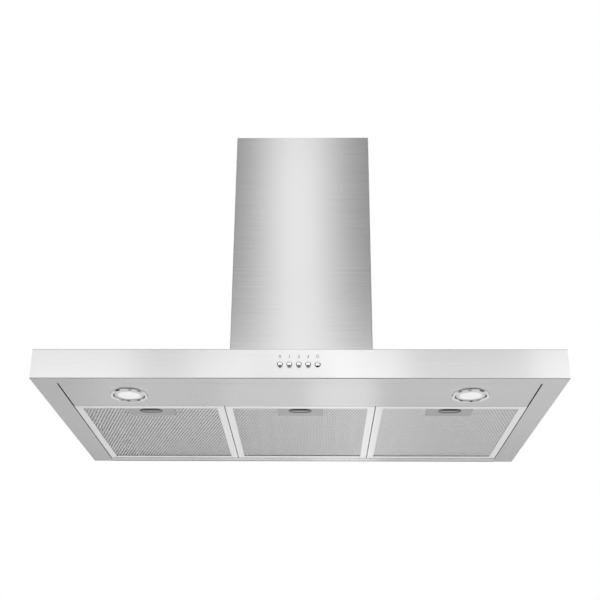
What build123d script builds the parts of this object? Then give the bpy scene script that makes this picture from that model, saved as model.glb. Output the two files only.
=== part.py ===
from build123d import *
import math
import os

# Wall-mounted canopy hood. Millimetres, +Z up. The origin is on the wall, on the centre line, at the level
# of the canopy's underside. The wall is the plane Y = 0 and the front of the hood faces -Y.

# Sheet and fits
SHEET = 1.0  # stainless sheet of the canopy and the chimney covers
PLATE = 1.0  # galvanised sheet of the airbox and the brackets
SEAT = 0.3  # gap between parts that rest on each other or slide along each other
RUNNING = 0.05  # radial gap of a shaft or pin in its bearing
TOUCH = 0.2  # gap of a sheet held in a channel
FLATS = 36  # flats of a large round piece that no duct, shaft or screw has to fit

# Canopy
CANOPY_WIDTH = 898.0
CANOPY_DEPTH = 520.0
CANOPY_HEIGHT = 53.0
FOLD_RADIUS = 1.6
LIP_DEPTH = 24.5  # front lip turned in underneath
RAIL_WIDTH = 40.0  # side rails turned in underneath
REAR_LIP_DEPTH = 25.5
HEM_HEIGHT = 10.0
BACK_FLANGE = 14.0

# Lamp panel
LAMP_PANEL_DEPTH = 120.0
LAMP_PANEL_GAP = 2.5  # slit beside each rail
JOGGLE_DEPTH = 10.0  # front edge that lies on the lip

# Grease filters
FILTER_NAMES = ("left", "centre", "right")
FILTER_HEIGHT = 9.0
FILTER_SIDE_GAP = 1.8
FILTER_SPACING = 1.5
FILTER_FRONT_GAP = 1.0
FILTER_REAR_GAP = 2.3
FRAME_RAIL = 13.0
FRAME_SHEET = 0.8
MITRE_GAP = 0.1  # hairline between two rails, measured along a rail
TAB_RADIUS = 2.0  # half-round edge of a rear tab, on which the filter swings
TAB_INSET = 1.4  # from the rear lip's edge to the middle of the round edge
TAB_SHEET = 0.8
TAB_WIDTH = 20.0
TAB_SPREAD = 180.0
MESH_SHEET = 0.5
PLEAT_SHEET = 0.4
PLEATS = 10

# Filter latches
LATCH_WIDTH = 83.5
LATCH_DEPTH = 43.0
LATCH_WALL = 1.0
LATCH_RECESS = 0.2
LATCH_TUNNEL = 8.5  # front of the tray, inside the frame's channel
LATCH_THROW = 3.8  # from the stored place, with the tongue drawn back, to the engaged one
GRIP_WIDTH = 42.0
GRIP_DEPTH = 24.5
GRIP_INSET = 1.5
GRIP_FLATS = 16  # flats of a full turn of the grip's ends
POCKET_DEPTH = 8.5  # open part of the grip, where the finger goes in
SLIDER_WIDTH = 52.0
SLIDER_SHEET = 1.4
SLIDER_COVER = 5.5  # how far the slider runs on behind the grip
SLIDER_ARM = 3.5
FINGER_EDGE = 3.5
TONGUE_WIDTH = 24.0
TONGUE_THICKNESS = 2.0
TONGUE_RISE = 2.5  # from the slider's underside to the tongue's
BAR_DEPTH = 4.0
SPRING_WIDTH = 36.0
SPRING_SHEET = 0.4
SPRING_HEIGHT = 4.0
SPRING_BENDS = 6

# Push buttons
BUTTON_NAMES = ("off", "speed_1", "speed_2", "speed_3", "light")
BUTTON_PITCH = 15.7
BUTTON_LEVEL = 25.0
BUTTON_RADIUS = 4.9
BUTTON_FLATS = 20
BUTTON_GAP = 0.3
BUTTON_REACH = 5.5  # how far a raised button stands out of the fascia
BUTTON_BEVEL = 1.8
BUTTON_FLANGE = 1.3
FLANGE_THICKNESS = 1.2
STEM_SIZE = 4.4
STEM_LENGTH = 14.0
STEM_GAP = 0.1
BUTTON_TRAVEL = 3.5
LIGHT_LATCHED = 2.5  # how far the light button stays in when it is on
SWITCH_MARGIN = 9.0
SWITCH_HEIGHT = 18.0
SWITCH_DEPTH = 24.0
BRACKET_EAR = 9.0

# Lamps
LAMP_INSET = 152.0  # from the canopy's side to the lamp's axis
RING_RADIUS = 33.0
RING_BEVEL = 2.4
RING_HEIGHT = 3.0
CAPSULE_RADIUS = 26.5
CAPSULE_HEIGHT = 22.0
CAPSULE_WALL = 1.6
LENS_RADIUS = 20.5
LENS_THICKNESS = 2.4
LENS_LEVEL = -0.8  # underside of the lens and of the lamp body
BOARD_THICKNESS = 1.6
BOARD_SIZE = 25.0
CHIP_SIZE = 4.0
CHIP_CIRCLE = 18.0
CHIPS = 3
CLIP_WIDTH = 8.0
CLIP_SHEET = 0.6
CLIP_HEIGHT = 14.0
CLIP_REACH = 13.0

# Electrical parts in the canopy
TERMINAL_INSET = 254.0  # from the canopy's side to the middle of the terminal box, or of the driver
TERMINAL_WIDTH = 80.0
TERMINAL_DEPTH = 55.0
TERMINAL_HEIGHT = 30.0
TERMINAL_WALL = 2.0
BLOCK_WIDTH = 50.0
BLOCK_DEPTH = 18.0
BLOCK_HEIGHT = 14.0
POLES = 5
DRIVER_WIDTH = 90.0
DRIVER_DEPTH = 42.0
DRIVER_HEIGHT = 26.0
DRIVER_EAR = 9.0

# Airbox over the canopy
AIRBOX_CLEARANCE = 20.0  # from the airbox's side to the chimney cover's
AIRBOX_DEPTH = 240.0
AIRBOX_HEIGHT = 242.0
AIRBOX_FLANGE = 12.0
AIRWAY_MARGIN = 4.0  # the canopy's opening is this much smaller than the airbox
AIRWAY_REAR = 16.0
SCREW_RADIUS = 2.0
SCREW_HEAD_RADIUS = 4.0
SCREW_HEAD_HEIGHT = 2.4
SCREW_LENGTH = 6.0
SCREW_FLATS = 8
SCREW_ROWS = (30.0, 208.0)  # distance of each row from the wall
HANGING_SPACING = 180.0
HANGING_RADIUS = 5.0
HANGING_LEVEL = 268.0
LOCKING_RADIUS = 3.0
LOCKING_LEVEL = 74.0

# Blower
BLOWER_FROM_WALL = 122.0
BLOWER_RISE = 114.0  # from the canopy's top to the shaft
IMPELLER_RADIUS = 75.0
IMPELLER_HALF_WIDTH = 46.0
BLADES = 24
BLADE_DEPTH = 13.0
BLADE_SHEET = 0.8
BLADE_LEAD = 6.0  # degrees by which the blade's tip leads its root
BLADE_SAG = 2.0  # degrees by which the blade's bend lags behind the line from root to tip
RING_DEPTH = 15.0
RING_MARGIN = 1.0  # rim of the ring and the disc past the blades' tips
RING_THICKNESS = 1.5
DISC_THICKNESS = 2.0
HUB_RADIUS = 12.0
HUB_FLATS = 6
HUB_LENGTH = 20.0
SHAFT_RADIUS = 4.0
SHAFT_OVERHANG = 4.0
MOTOR_RADIUS = 45.0
MOTOR_LENGTH = 70.0
MOTOR_GAP = 7.0
MOTOR_BEVEL = 4.0
BEARING_DEPTH = 38.0
SCROLL_HALF_WIDTH = 50.0
SCROLL_WALL = 2.0
TONGUE_ANGLE = 70.0
TONGUE_GAP = 5.0
SCROLL_GROWTH = 35.0
SCROLL_FLATS = 16
INLET_RADIUS = 60.0
BELL_WIDTH = 6.0  # how far the inlet opens out from its throat
BELL_HEIGHT = 6.0  # from the side wall to the inlet's rim
BRACKET_SHEET = 2.0
ARM_REACH = 70.0  # from the shaft to the inside of an arm's bend
ARM_WIDTH = 10.0
FOOT_LENGTH = 9.0
ARMS = 3
CAPACITOR_WIDTH = 22.0
CAPACITOR_DEPTH = 50.0
CAPACITOR_HEIGHT = 34.0
CAPACITOR_EAR = 12.0
CAPACITOR_RISE = 200.0  # from the canopy's top

# Outlet
COLLAR_FROM_WALL = 100.0
COLLAR_RADIUS = 75.0
COLLAR_WALL = 1.5
COLLAR_LENGTH = 50.0
TRANSITION_HEIGHT = 50.0
BASE_FLANGE = 12.0
BASE_THICKNESS = 1.5
HEAD_FLATS = 24
PIN_RADIUS = 2.0
PIN_RISE = 10.0  # from the collar's foot to the flap pin
FLAP_SHEET = 1.0
FLAP_GAP = 0.7
KNUCKLE_WALL = 1.2
KNUCKLES = 4
KNUCKLE_FLATS = 12
LUG_DEPTH = 6.0  # of the seat that holds an end of the pin
LUG_WIDTH = 10.0
LUG_HEIGHT = 6.0  # below the pin's axis
STOP_WIDTH = 12.0
STOP_DEPTH = 4.0
STOP_THICKNESS = 2.0
GLAND_X = 82.0
GLAND_FROM_WALL = 195.0
GLAND_BORE = 4.5
GLAND_NECK = 8.0
GLAND_RADIUS = 11.0
GLAND_FLANGE = 5.0
GLAND_DOME = 9.0
GLAND_FLATS = 6

# Chimney covers
CHIMNEY_WIDTH = 280.0
CHIMNEY_DEPTH = 270.0
CHIMNEY_HEIGHT = 586.0
CHIMNEY_FOLD = 2.0
CHIMNEY_FLANGE = 12.0
UPPER_HEIGHT = 552.0
UPPER_DROP = 2.0  # how far below the lower cover's top the upper one stops
VENTS = 4
VENT_LENGTH = 110.0
VENT_HEIGHT = 4.0
VENT_PITCH = 10.0
VENT_DROP = 48.0
HANGER_HEIGHT = 30.0
HANGER_SHEET = 1.5
HANGER_ARM = 55.0
HANGER_DROP = 8.0
HANGER_HOLE_RADIUS = 3.0
HANGER_HOLE_SPACING = 160.0

# Places worked out from the sizes above
HALF_WIDTH = CANOPY_WIDTH / 2
FRONT = -CANOPY_DEPTH
FASCIA_BACK = FRONT + SHEET
UNDER_TOP = CANOPY_HEIGHT - SHEET
BAY_HALF = HALF_WIDTH - RAIL_WIDTH
BAY_FRONT = FRONT + LIP_DEPTH
PANEL_HALF = BAY_HALF - LAMP_PANEL_GAP
PANEL_FRONT = BAY_FRONT + SEAT
PANEL_REAR = BAY_FRONT + LAMP_PANEL_DEPTH
PANEL_MIDDLE = (BAY_FRONT + PANEL_REAR) / 2
COMPARTMENT_MIDDLE = (FASCIA_BACK + PANEL_REAR) / 2

FILTER_COUNT = len(FILTER_NAMES)
BAY_CLEAR = 2 * (BAY_HALF - FILTER_SIDE_GAP)
FILTER_WIDTH = (BAY_CLEAR - (FILTER_COUNT - 1) * FILTER_SPACING) / FILTER_COUNT
FILTER_PITCH = FILTER_WIDTH + FILTER_SPACING
FILTER_FRONT = PANEL_REAR + FILTER_FRONT_GAP
FILTER_REAR = -REAR_LIP_DEPTH - FILTER_REAR_GAP
FILTER_MIDDLE = (FILTER_FRONT + FILTER_REAR) / 2
FILTER_DEPTH = FILTER_REAR - FILTER_FRONT
PIVOT_Y = -REAR_LIP_DEPTH + TAB_INSET
PIVOT_Z = SHEET + SEAT + TAB_RADIUS
PACK_HALF = FILTER_WIDTH / 2 - FRAME_SHEET - TOUCH
PACK_FRONT = FILTER_FRONT + FRAME_SHEET + TOUCH
PACK_REAR = FILTER_REAR - FRAME_SHEET - TOUCH
PACK_BOTTOM = FRAME_SHEET + TOUCH
PACK_TOP = FILTER_HEIGHT - FRAME_SHEET - TOUCH

TRAY_FRONT = FILTER_FRONT + FRAME_RAIL
TRAY_REAR = TRAY_FRONT + LATCH_DEPTH
TRAY_FLOOR = LATCH_RECESS + LATCH_WALL
GRIP_FRONT = TRAY_FRONT + GRIP_INSET
GRIP_REAR = GRIP_FRONT + GRIP_DEPTH
SLIDER_BOTTOM = TRAY_FLOOR + SEAT
SLIDER_FRONT = GRIP_FRONT + POCKET_DEPTH
SLIDER_REAR = GRIP_REAR + SLIDER_COVER
TUNNEL_FRONT = TRAY_FRONT - LATCH_TUNNEL
TUNNEL_FLOOR = PACK_BOTTOM + LATCH_WALL
BAR_FRONT = TUNNEL_FRONT + LATCH_WALL + LATCH_THROW + SEAT
TONGUE_BOTTOM = SLIDER_BOTTOM + TONGUE_RISE
TONGUE_TOP = TONGUE_BOTTOM + TONGUE_THICKNESS
TONGUE_TIP = PANEL_REAR + SEAT
SPRING_SEAT = TRAY_REAR - LATCH_WALL

FLANGE_FRONT = FASCIA_BACK + SEAT
FLANGE_REAR = FLANGE_FRONT + FLANGE_THICKNESS
SWITCH_FRONT = FLANGE_REAR + BUTTON_TRAVEL + SEAT
SWITCH_REAR = SWITCH_FRONT + SWITCH_DEPTH
SWITCH_HALF = BUTTON_PITCH * (len(BUTTON_NAMES) - 1) / 2 + SWITCH_MARGIN

LAMP_X = HALF_WIDTH - LAMP_INSET
LAMP_HOLE = CAPSULE_RADIUS + 2 * SEAT
LENS_TOP = LENS_LEVEL + LENS_THICKNESS
LAMP_CEILING = CAPSULE_HEIGHT - CAPSULE_WALL
TERMINAL_X = HALF_WIDTH - TERMINAL_INSET

AIR_HALF = CHIMNEY_WIDTH / 2 - AIRBOX_CLEARANCE
AIR_FRONT = -AIRBOX_DEPTH
AIR_TOP = CANOPY_HEIGHT + AIRBOX_HEIGHT
UNDER_AIR_TOP = AIR_TOP - PLATE
AIRWAY_HALF = AIR_HALF - AIRWAY_MARGIN
SHAFT_Y = -BLOWER_FROM_WALL
SHAFT_Z = CANOPY_HEIGHT + BLOWER_RISE
SCROLL_START = IMPELLER_RADIUS + TONGUE_GAP
SCROLL_END = SCROLL_START + SCROLL_GROWTH
OUTLET_REAR = SHAFT_Y + SCROLL_END
OUTLET_FRONT = SHAFT_Y + SCROLL_START * math.cos(math.radians(TONGUE_ANGLE))
SCROLL_SIDE = SCROLL_HALF_WIDTH + SCROLL_WALL
BELL_FACE = SCROLL_SIDE + BELL_HEIGHT
MOTOR_FACE = -DISC_THICKNESS / 2 - MOTOR_GAP
MOTOR_END = MOTOR_FACE - MOTOR_LENGTH
BLADE_TIP = IMPELLER_RADIUS - RING_MARGIN
BLADE_ROOT = BLADE_TIP - BLADE_DEPTH
COLLAR_Y = -COLLAR_FROM_WALL
COLLAR_FOOT = AIR_TOP + TRANSITION_HEIGHT
COLLAR_TOP = COLLAR_FOOT + COLLAR_LENGTH
COLLAR_INSIDE = COLLAR_RADIUS - COLLAR_WALL
PIN_Z = COLLAR_FOOT + PIN_RISE

CHIMNEY_TOP = CANOPY_HEIGHT + CHIMNEY_HEIGHT
LOWER_HALF = CHIMNEY_WIDTH / 2
UPPER_HALF = LOWER_HALF - SHEET - SEAT
UPPER_FRONT = -CHIMNEY_DEPTH + SHEET + SEAT
UPPER_REAR = -SHEET - SEAT
UPPER_TOP = CHIMNEY_TOP - UPPER_DROP


def block(x, y, z):
    """A block between two values on each axis."""
    middle = Pos((x[0] + x[1]) / 2, (y[0] + y[1]) / 2, (z[0] + z[1]) / 2)
    return middle * Box(x[1] - x[0], y[1] - y[0], z[1] - z[0])


def rod_x(radius, x, y, z):
    """A round bar along X, between two values of x."""
    return Pos((x[0] + x[1]) / 2, y, z) * Rot(0, 90, 0) * Cylinder(radius, x[1] - x[0])


def rod_y(radius, x, y, z):
    """A round bar along Y, between two values of y."""
    return Pos(x, (y[0] + y[1]) / 2, z) * Rot(90, 0, 0) * Cylinder(radius, y[1] - y[0])


def rod_z(radius, x, y, z):
    """A round bar along Z, between two values of z."""
    return Pos(x, y, (z[0] + z[1]) / 2) * Cylinder(radius, z[1] - z[0])


def flats_x(radius, x, y, z, sides=FLATS):
    """A many-sided bar along X, between two values of x."""
    base = Plane((x[0], y, z), x_dir=(0, 1, 0), z_dir=(1, 0, 0))
    return extrude(base * RegularPolygon(radius, round(sides)), x[1] - x[0])


def flats_y(radius, x, y, z, sides=FLATS):
    """A many-sided bar along Y, between two values of y."""
    base = Plane((x, y[0], z), x_dir=(1, 0, 0), z_dir=(0, 1, 0))
    return extrude(base * RegularPolygon(radius, round(sides)), y[1] - y[0])


def flats_z(radius, x, y, z, sides=FLATS):
    """A many-sided bar along Z, between two values of z."""
    return Pos(x, y, z[0]) * extrude(RegularPolygon(radius, round(sides)), z[1] - z[0])


def widening(base, first, last, length, sides=FLATS):
    """A many-sided piece on a plane, whose radius changes evenly from first to last over its length."""
    taper = math.degrees(math.atan2(first - last, length))
    return extrude(base * RegularPolygon(first, round(sides)), length, taper=taper)


def both_sides(piece):
    """A piece and its mirror image on the other side of the centre line."""
    return piece + piece.mirror(Plane.YZ)


def save(name, *pieces):
    """Writes one node, which is a single solid or a group of separate solids."""
    solids = [solid for piece in pieces for solid in piece.solids()]
    export_step(solids[0] if len(solids) == 1 else Compound(solids), f"parts/{name}.step")


# Canopy

def button_places():
    """Where each button's axis crosses the fascia, from left to right."""
    first = -BUTTON_PITCH * (len(BUTTON_NAMES) - 1) / 2
    return [first + BUTTON_PITCH * number for number in range(len(BUTTON_NAMES))]


def screw_places():
    """The screws through the airbox's two side flanges."""
    reach = AIR_HALF + AIRBOX_FLANGE / 2
    return [(side * reach, -row) for side in (-1, 1) for row in SCREW_ROWS]


def canopy_skin():
    """Fascia, sides and top in one fold, with the lip and the rails turned in underneath."""
    body = block((-HALF_WIDTH, HALF_WIDTH), (FRONT, 0), (0, CANOPY_HEIGHT))
    folds = [edge for edge in body.edges().filter_by(Axis.X) if edge.center().Y < FRONT + SHEET]
    body = fillet(folds, FOLD_RADIUS)
    inside = HALF_WIDTH - SHEET
    body -= block((-inside, inside), (FASCIA_BACK, SHEET), (SHEET, UNDER_TOP))
    body -= block((-BAY_HALF, BAY_HALF), (BAY_FRONT, SHEET), (-SHEET, 2 * SHEET))
    airway = (AIR_FRONT + AIRWAY_MARGIN, -AIRWAY_REAR)
    through = (UNDER_TOP - SHEET, CANOPY_HEIGHT + SHEET)
    body -= block((-AIRWAY_HALF, AIRWAY_HALF), airway, through)
    body += both_sides(block((BAY_HALF, BAY_HALF + SHEET), (BAY_FRONT, -SHEET), (0, HEM_HEIGHT)))
    hole = (FRONT - SHEET, FASCIA_BACK + SHEET)
    for x in button_places():
        body -= flats_y(BUTTON_RADIUS + BUTTON_GAP, x, hole, BUTTON_LEVEL, BUTTON_FLATS)
    for x, y in screw_places():
        body -= flats_z(SCREW_RADIUS + RUNNING, x, y, through, SCREW_FLATS)
    return body


def canopy_back_panel():
    """Upright sheet against the wall, with the rear lip below and a flange under the top."""
    inside = HALF_WIDTH - SHEET
    lip = BAY_HALF - SEAT
    panel = block((-inside, inside), (-SHEET, 0), (SHEET, UNDER_TOP))
    panel += block((-lip, lip), (-REAR_LIP_DEPTH, 0), (0, SHEET))
    return panel + block((-inside, inside), (-BACK_FLANGE, 0), (UNDER_TOP - SHEET, UNDER_TOP))


def tongue_window(y):
    """The opening that a latch's tongue passes, through anything between two values of y."""
    half = TONGUE_WIDTH / 2 + SEAT
    return block((-half, half), y, (TONGUE_BOTTOM - SEAT, TONGUE_TOP + SEAT))


def filter_places():
    """The middle of each filter, from left to right."""
    first = -FILTER_PITCH * (FILTER_COUNT - 1) / 2
    return [first + FILTER_PITCH * number for number in range(FILTER_COUNT)]


def lamp_panel():
    """Panel that carries the lamps. Its rear edge turns up and keeps the filters' tongues."""
    panel = block((-PANEL_HALF, PANEL_HALF), (PANEL_FRONT, PANEL_REAR), (0, SHEET))
    joggle = (BAY_FRONT - JOGGLE_DEPTH, PANEL_FRONT + SHEET)
    panel += block((-PANEL_HALF, PANEL_HALF), joggle, (SHEET, 2 * SHEET))
    panel += block((-PANEL_HALF, PANEL_HALF), (PANEL_REAR - SHEET, PANEL_REAR), (0, UNDER_TOP - SEAT))
    edge = (PANEL_HALF - SHEET, PANEL_HALF)
    panel += both_sides(block(edge, (PANEL_FRONT, PANEL_REAR), (0, HEM_HEIGHT)))
    for side in (-1, 1):
        panel -= flats_z(LAMP_HOLE, side * LAMP_X, PANEL_MIDDLE, (-SHEET, 2 * SHEET))
    for x in filter_places():
        panel -= Pos(x, 0, 0) * tongue_window((PANEL_REAR - 2 * SHEET, PANEL_REAR + SHEET))
    return panel


# Grease filters

def filter_frame():
    """Four mitred rails of channel section. The rear rail carries the two tabs it swings on."""
    half = FILTER_WIDTH / 2
    ring = block((-half, half), (FILTER_FRONT, FILTER_REAR), (0, FILTER_HEIGHT))
    channel = half - FRAME_SHEET
    ring -= block(
        (-channel, channel),
        (FILTER_FRONT + FRAME_SHEET, FILTER_REAR - FRAME_SHEET),
        (FRAME_SHEET, FILTER_HEIGHT - FRAME_SHEET),
    )
    light = half - FRAME_RAIL
    window = (FILTER_FRONT + FRAME_RAIL, FILTER_REAR - FRAME_RAIL)
    ring -= block((-light, light), window, (-FRAME_SHEET, FILTER_HEIGHT + FRAME_SHEET))
    ring -= tongue_window((FILTER_FRONT - FRAME_SHEET, FILTER_FRONT + 2 * FRAME_SHEET))
    outer = [(-half, FILTER_FRONT), (half, FILTER_FRONT), (half, FILTER_REAR), (-half, FILTER_REAR)]
    inner = [(-light, window[0]), (light, window[0]), (light, window[1]), (-light, window[1])]
    runs = [(MITRE_GAP / 2, 0), (0, MITRE_GAP / 2), (-MITRE_GAP / 2, 0), (0, -MITRE_GAP / 2)]
    rails = []
    for number, (run_x, run_y) in enumerate(runs):
        following = (number + 1) % 4
        starts = [(x + run_x, y + run_y) for x, y in (inner[number], outer[number])]
        ends = [(x - run_x, y - run_y) for x, y in (outer[following], inner[following])]
        wedge = extrude(make_face(Polyline(starts + ends, close=True)), FILTER_HEIGHT)
        rails.append(ring & wedge)
    for side in (-1, 1):
        x = (side * TAB_SPREAD / 2 - TAB_WIDTH / 2, side * TAB_SPREAD / 2 + TAB_WIDTH / 2)
        thickness = (PIVOT_Z - TAB_SHEET / 2, PIVOT_Z + TAB_SHEET / 2)
        tab = block(x, (FILTER_REAR - FRAME_SHEET, PIVOT_Y), thickness)
        bead = rod_x(TAB_RADIUS, x, PIVOT_Y, PIVOT_Z)
        bead &= block(x, (PIVOT_Y, PIVOT_Y + TAB_RADIUS), (PIVOT_Z - TAB_RADIUS, PIVOT_Z + TAB_RADIUS))
        rails[2] += tab + bead
    return rails


def latch_notch():
    """The place in the mesh pack that the latch tray takes."""
    half = LATCH_WIDTH / 2 + TOUCH
    return block((-half, half), (FILTER_FRONT, TRAY_REAR + TOUCH), (-FILTER_HEIGHT, 2 * FILTER_HEIGHT))


def filter_mesh():
    """Mesh pack: a flat sheet of expanded mesh below and above, and a pleated one between them."""
    lower = block((-PACK_HALF, PACK_HALF), (PACK_FRONT, PACK_REAR), (PACK_BOTTOM, PACK_BOTTOM + MESH_SHEET))
    upper = block((-PACK_HALF, PACK_HALF), (PACK_FRONT, PACK_REAR), (PACK_TOP - MESH_SHEET, PACK_TOP))
    valley = PACK_BOTTOM + MESH_SHEET + TOUCH
    ridge = PACK_TOP - MESH_SHEET - TOUCH
    step = PACK_HALF / PLEATS
    top_line = []
    bottom_line = []
    for number in range(2 * PLEATS + 1):
        x = -PACK_HALF + number * step
        level = valley if number % 2 == 0 else ridge - PLEAT_SHEET
        bottom_line.append((x, 0, level))
        top_line.append((x, 0, level + PLEAT_SHEET))
    section = make_face(Polyline(bottom_line + top_line[::-1], close=True))
    pleats = Pos(0, PACK_FRONT, 0) * extrude(section, PACK_REAR - PACK_FRONT, dir=(0, 1, 0))
    return [sheet - latch_notch() for sheet in (lower, pleats, upper)]


def latch_tray():
    """Closed tray in the filter's front edge, with a stadium opening for the finger."""
    half = LATCH_WIDTH / 2
    tray = block((-half, half), (TRAY_FRONT, TRAY_REAR), (LATCH_RECESS, PACK_TOP))
    tray += block((-half, half), (TUNNEL_FRONT, TRAY_FRONT), (PACK_BOTTOM, PACK_TOP))
    inside = half - LATCH_WALL
    ceiling = PACK_TOP - LATCH_WALL
    hollow = (TRAY_FRONT, TRAY_REAR - LATCH_WALL)
    tray -= block((-inside, inside), hollow, (TRAY_FLOOR, ceiling))
    tray -= block((-inside, inside), (TUNNEL_FRONT + LATCH_WALL, TRAY_FRONT + SEAT), (TUNNEL_FLOOR, ceiling))
    guide = SLIDER_WIDTH / 2 + SEAT
    tray += both_sides(block((guide, guide + LATCH_WALL), hollow, (TRAY_FLOOR, ceiling)))
    reach = (GRIP_WIDTH - GRIP_DEPTH) / 2
    grip = Rectangle(2 * reach, GRIP_DEPTH)
    grip += [Pos(side * reach, 0) * RegularPolygon(GRIP_DEPTH / 2, GRIP_FLATS) for side in (-1, 1)]
    middle = Pos(0, (GRIP_FRONT + GRIP_REAR) / 2, LATCH_RECESS - LATCH_WALL)
    tray -= middle * extrude(grip, 2 * LATCH_WALL + SEAT)
    return tray - tongue_window((TUNNEL_FRONT - LATCH_WALL, TUNNEL_FRONT + 2 * LATCH_WALL))


def latch_slider():
    """Sliding catch: a grip plate, two arms past the finger pocket, a bar and the tongue."""
    half = SLIDER_WIDTH / 2
    slider = block((-half, half), (SLIDER_FRONT, SLIDER_REAR), (SLIDER_BOTTOM, SLIDER_BOTTOM + SLIDER_SHEET))
    edge = (SLIDER_FRONT, SLIDER_FRONT + SLIDER_SHEET)
    slider += block((-half, half), edge, (SLIDER_BOTTOM, SLIDER_BOTTOM + FINGER_EDGE))
    arm = (BAR_FRONT, SLIDER_FRONT + SLIDER_SHEET)
    slider += both_sides(block((half - SLIDER_ARM, half), arm, (TUNNEL_FLOOR + SEAT, TONGUE_TOP)))
    slider += block((-half, half), (BAR_FRONT, BAR_FRONT + BAR_DEPTH), (TONGUE_BOTTOM, TONGUE_TOP))
    tongue = TONGUE_WIDTH / 2
    slider += block((-tongue, tongue), (TONGUE_TIP, BAR_FRONT + BAR_DEPTH), (TONGUE_BOTTOM, TONGUE_TOP))
    return slider


def latch_spring():
    """Bow of spring steel between the slider and the tray's rear wall."""
    crown = SLIDER_REAR + TOUCH + SPRING_SHEET / 2
    foot = SPRING_SEAT - SEAT - SPRING_SHEET / 2
    bow = []
    for number in range(SPRING_BENDS + 1):
        share = 2 * number / SPRING_BENDS - 1
        bow.append((share * SPRING_WIDTH / 2, crown + (foot - crown) * share * share))
    return Pos(0, 0, SLIDER_BOTTOM) * extrude(trace(Polyline(bow), SPRING_SHEET), SPRING_HEIGHT)


# Push buttons and their switch

def button(x, pressed):
    """Bevelled cap, the flange behind the fascia and the stem that works the switch."""
    cap = flats_y(BUTTON_RADIUS, x, (FRONT - BUTTON_REACH, FLANGE_REAR), BUTTON_LEVEL, BUTTON_FLATS)
    cap = chamfer(cap.edges().group_by(Axis.Y)[0], BUTTON_BEVEL)
    flange = BUTTON_RADIUS + BUTTON_FLANGE
    square = (BUTTON_LEVEL - flange, BUTTON_LEVEL + flange)
    cap += block((x - flange, x + flange), (FLANGE_FRONT, FLANGE_REAR), square)
    stem = STEM_SIZE / 2
    reach = (FLANGE_REAR, FLANGE_REAR + STEM_LENGTH)
    cap += block((x - stem, x + stem), reach, (BUTTON_LEVEL - stem, BUTTON_LEVEL + stem))
    return Pos(0, pressed, 0) * cap


def switch_block():
    """Five-way switch body with a square well for each stem."""
    level = (BUTTON_LEVEL - SWITCH_HEIGHT / 2, BUTTON_LEVEL + SWITCH_HEIGHT / 2)
    body = block((-SWITCH_HALF, SWITCH_HALF), (SWITCH_FRONT, SWITCH_REAR), level)
    depth = FLANGE_REAR + STEM_LENGTH + BUTTON_TRAVEL + SEAT
    well = STEM_SIZE / 2 + STEM_GAP
    for x in button_places():
        height = (BUTTON_LEVEL - well, BUTTON_LEVEL + well)
        body -= block((x - well, x + well), (SWITCH_FRONT - SHEET, depth), height)
    return body


def switch_bracket():
    """Folded bracket that holds the switch body behind the fascia."""
    low = BUTTON_LEVEL - SWITCH_HEIGHT / 2
    high = BUTTON_LEVEL + SWITCH_HEIGHT / 2
    width = (-SWITCH_HALF, SWITCH_HALF)
    bracket = block(width, (FASCIA_BACK, SWITCH_REAR), (high, high + PLATE))
    bracket += block(width, (FASCIA_BACK, SWITCH_REAR), (low - PLATE, low))
    bracket += block(width, (SWITCH_REAR, SWITCH_REAR + PLATE), (low - PLATE, high + PLATE))
    bracket += block(width, (FASCIA_BACK, FASCIA_BACK + PLATE), (high, high + BRACKET_EAR))
    bracket += block(width, (FASCIA_BACK, FASCIA_BACK + PLATE), (low - BRACKET_EAR, low))
    return bracket


# Lamps

def lamp_ring(x):
    """Chrome ring under the panel, bevelled outside and sloping in to the lamp body."""
    low = Plane((x, PANEL_MIDDLE, -RING_HEIGHT))
    bore = CAPSULE_RADIUS + SEAT
    ring = widening(low, RING_RADIUS - RING_BEVEL, RING_RADIUS, RING_HEIGHT)
    ring -= widening(low, bore + RING_BEVEL, bore, RING_BEVEL)
    return ring - flats_z(bore, x, PANEL_MIDDLE, (-RING_HEIGHT, RING_HEIGHT))


def lamp_capsule(x):
    """Lamp body through the panel's hole, bored for the lens below and the board above it."""
    y = PANEL_MIDDLE
    body = flats_z(CAPSULE_RADIUS, x, y, (LENS_LEVEL, CAPSULE_HEIGHT))
    body -= flats_z(LENS_RADIUS + TOUCH, x, y, (LENS_LEVEL - SHEET, LENS_TOP))
    return body - flats_z(LENS_RADIUS - CAPSULE_WALL, x, y, (LENS_LEVEL - SHEET, LAMP_CEILING))


def lamp_lens(x):
    """Frosted lens in the mouth of the lamp body."""
    return flats_z(LENS_RADIUS, x, PANEL_MIDDLE, (LENS_LEVEL, LENS_TOP))


def lamp_board(x):
    """Square board under the lamp body's ceiling, with the light chips under it."""
    y = PANEL_MIDDLE
    low = LAMP_CEILING - BOARD_THICKNESS
    side = BOARD_SIZE / 2
    board = block((x - side, x + side), (y - side, y + side), (low, LAMP_CEILING))
    for number in range(CHIPS):
        turn = math.radians(90 + number * 360 / CHIPS)
        chip_x = x + CHIP_CIRCLE / 2 * math.cos(turn)
        chip_y = y + CHIP_CIRCLE / 2 * math.sin(turn)
        half = CHIP_SIZE / 2
        board += block((chip_x - half, chip_x + half), (chip_y - half, chip_y + half), (low - SHEET, low))
    return board


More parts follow.
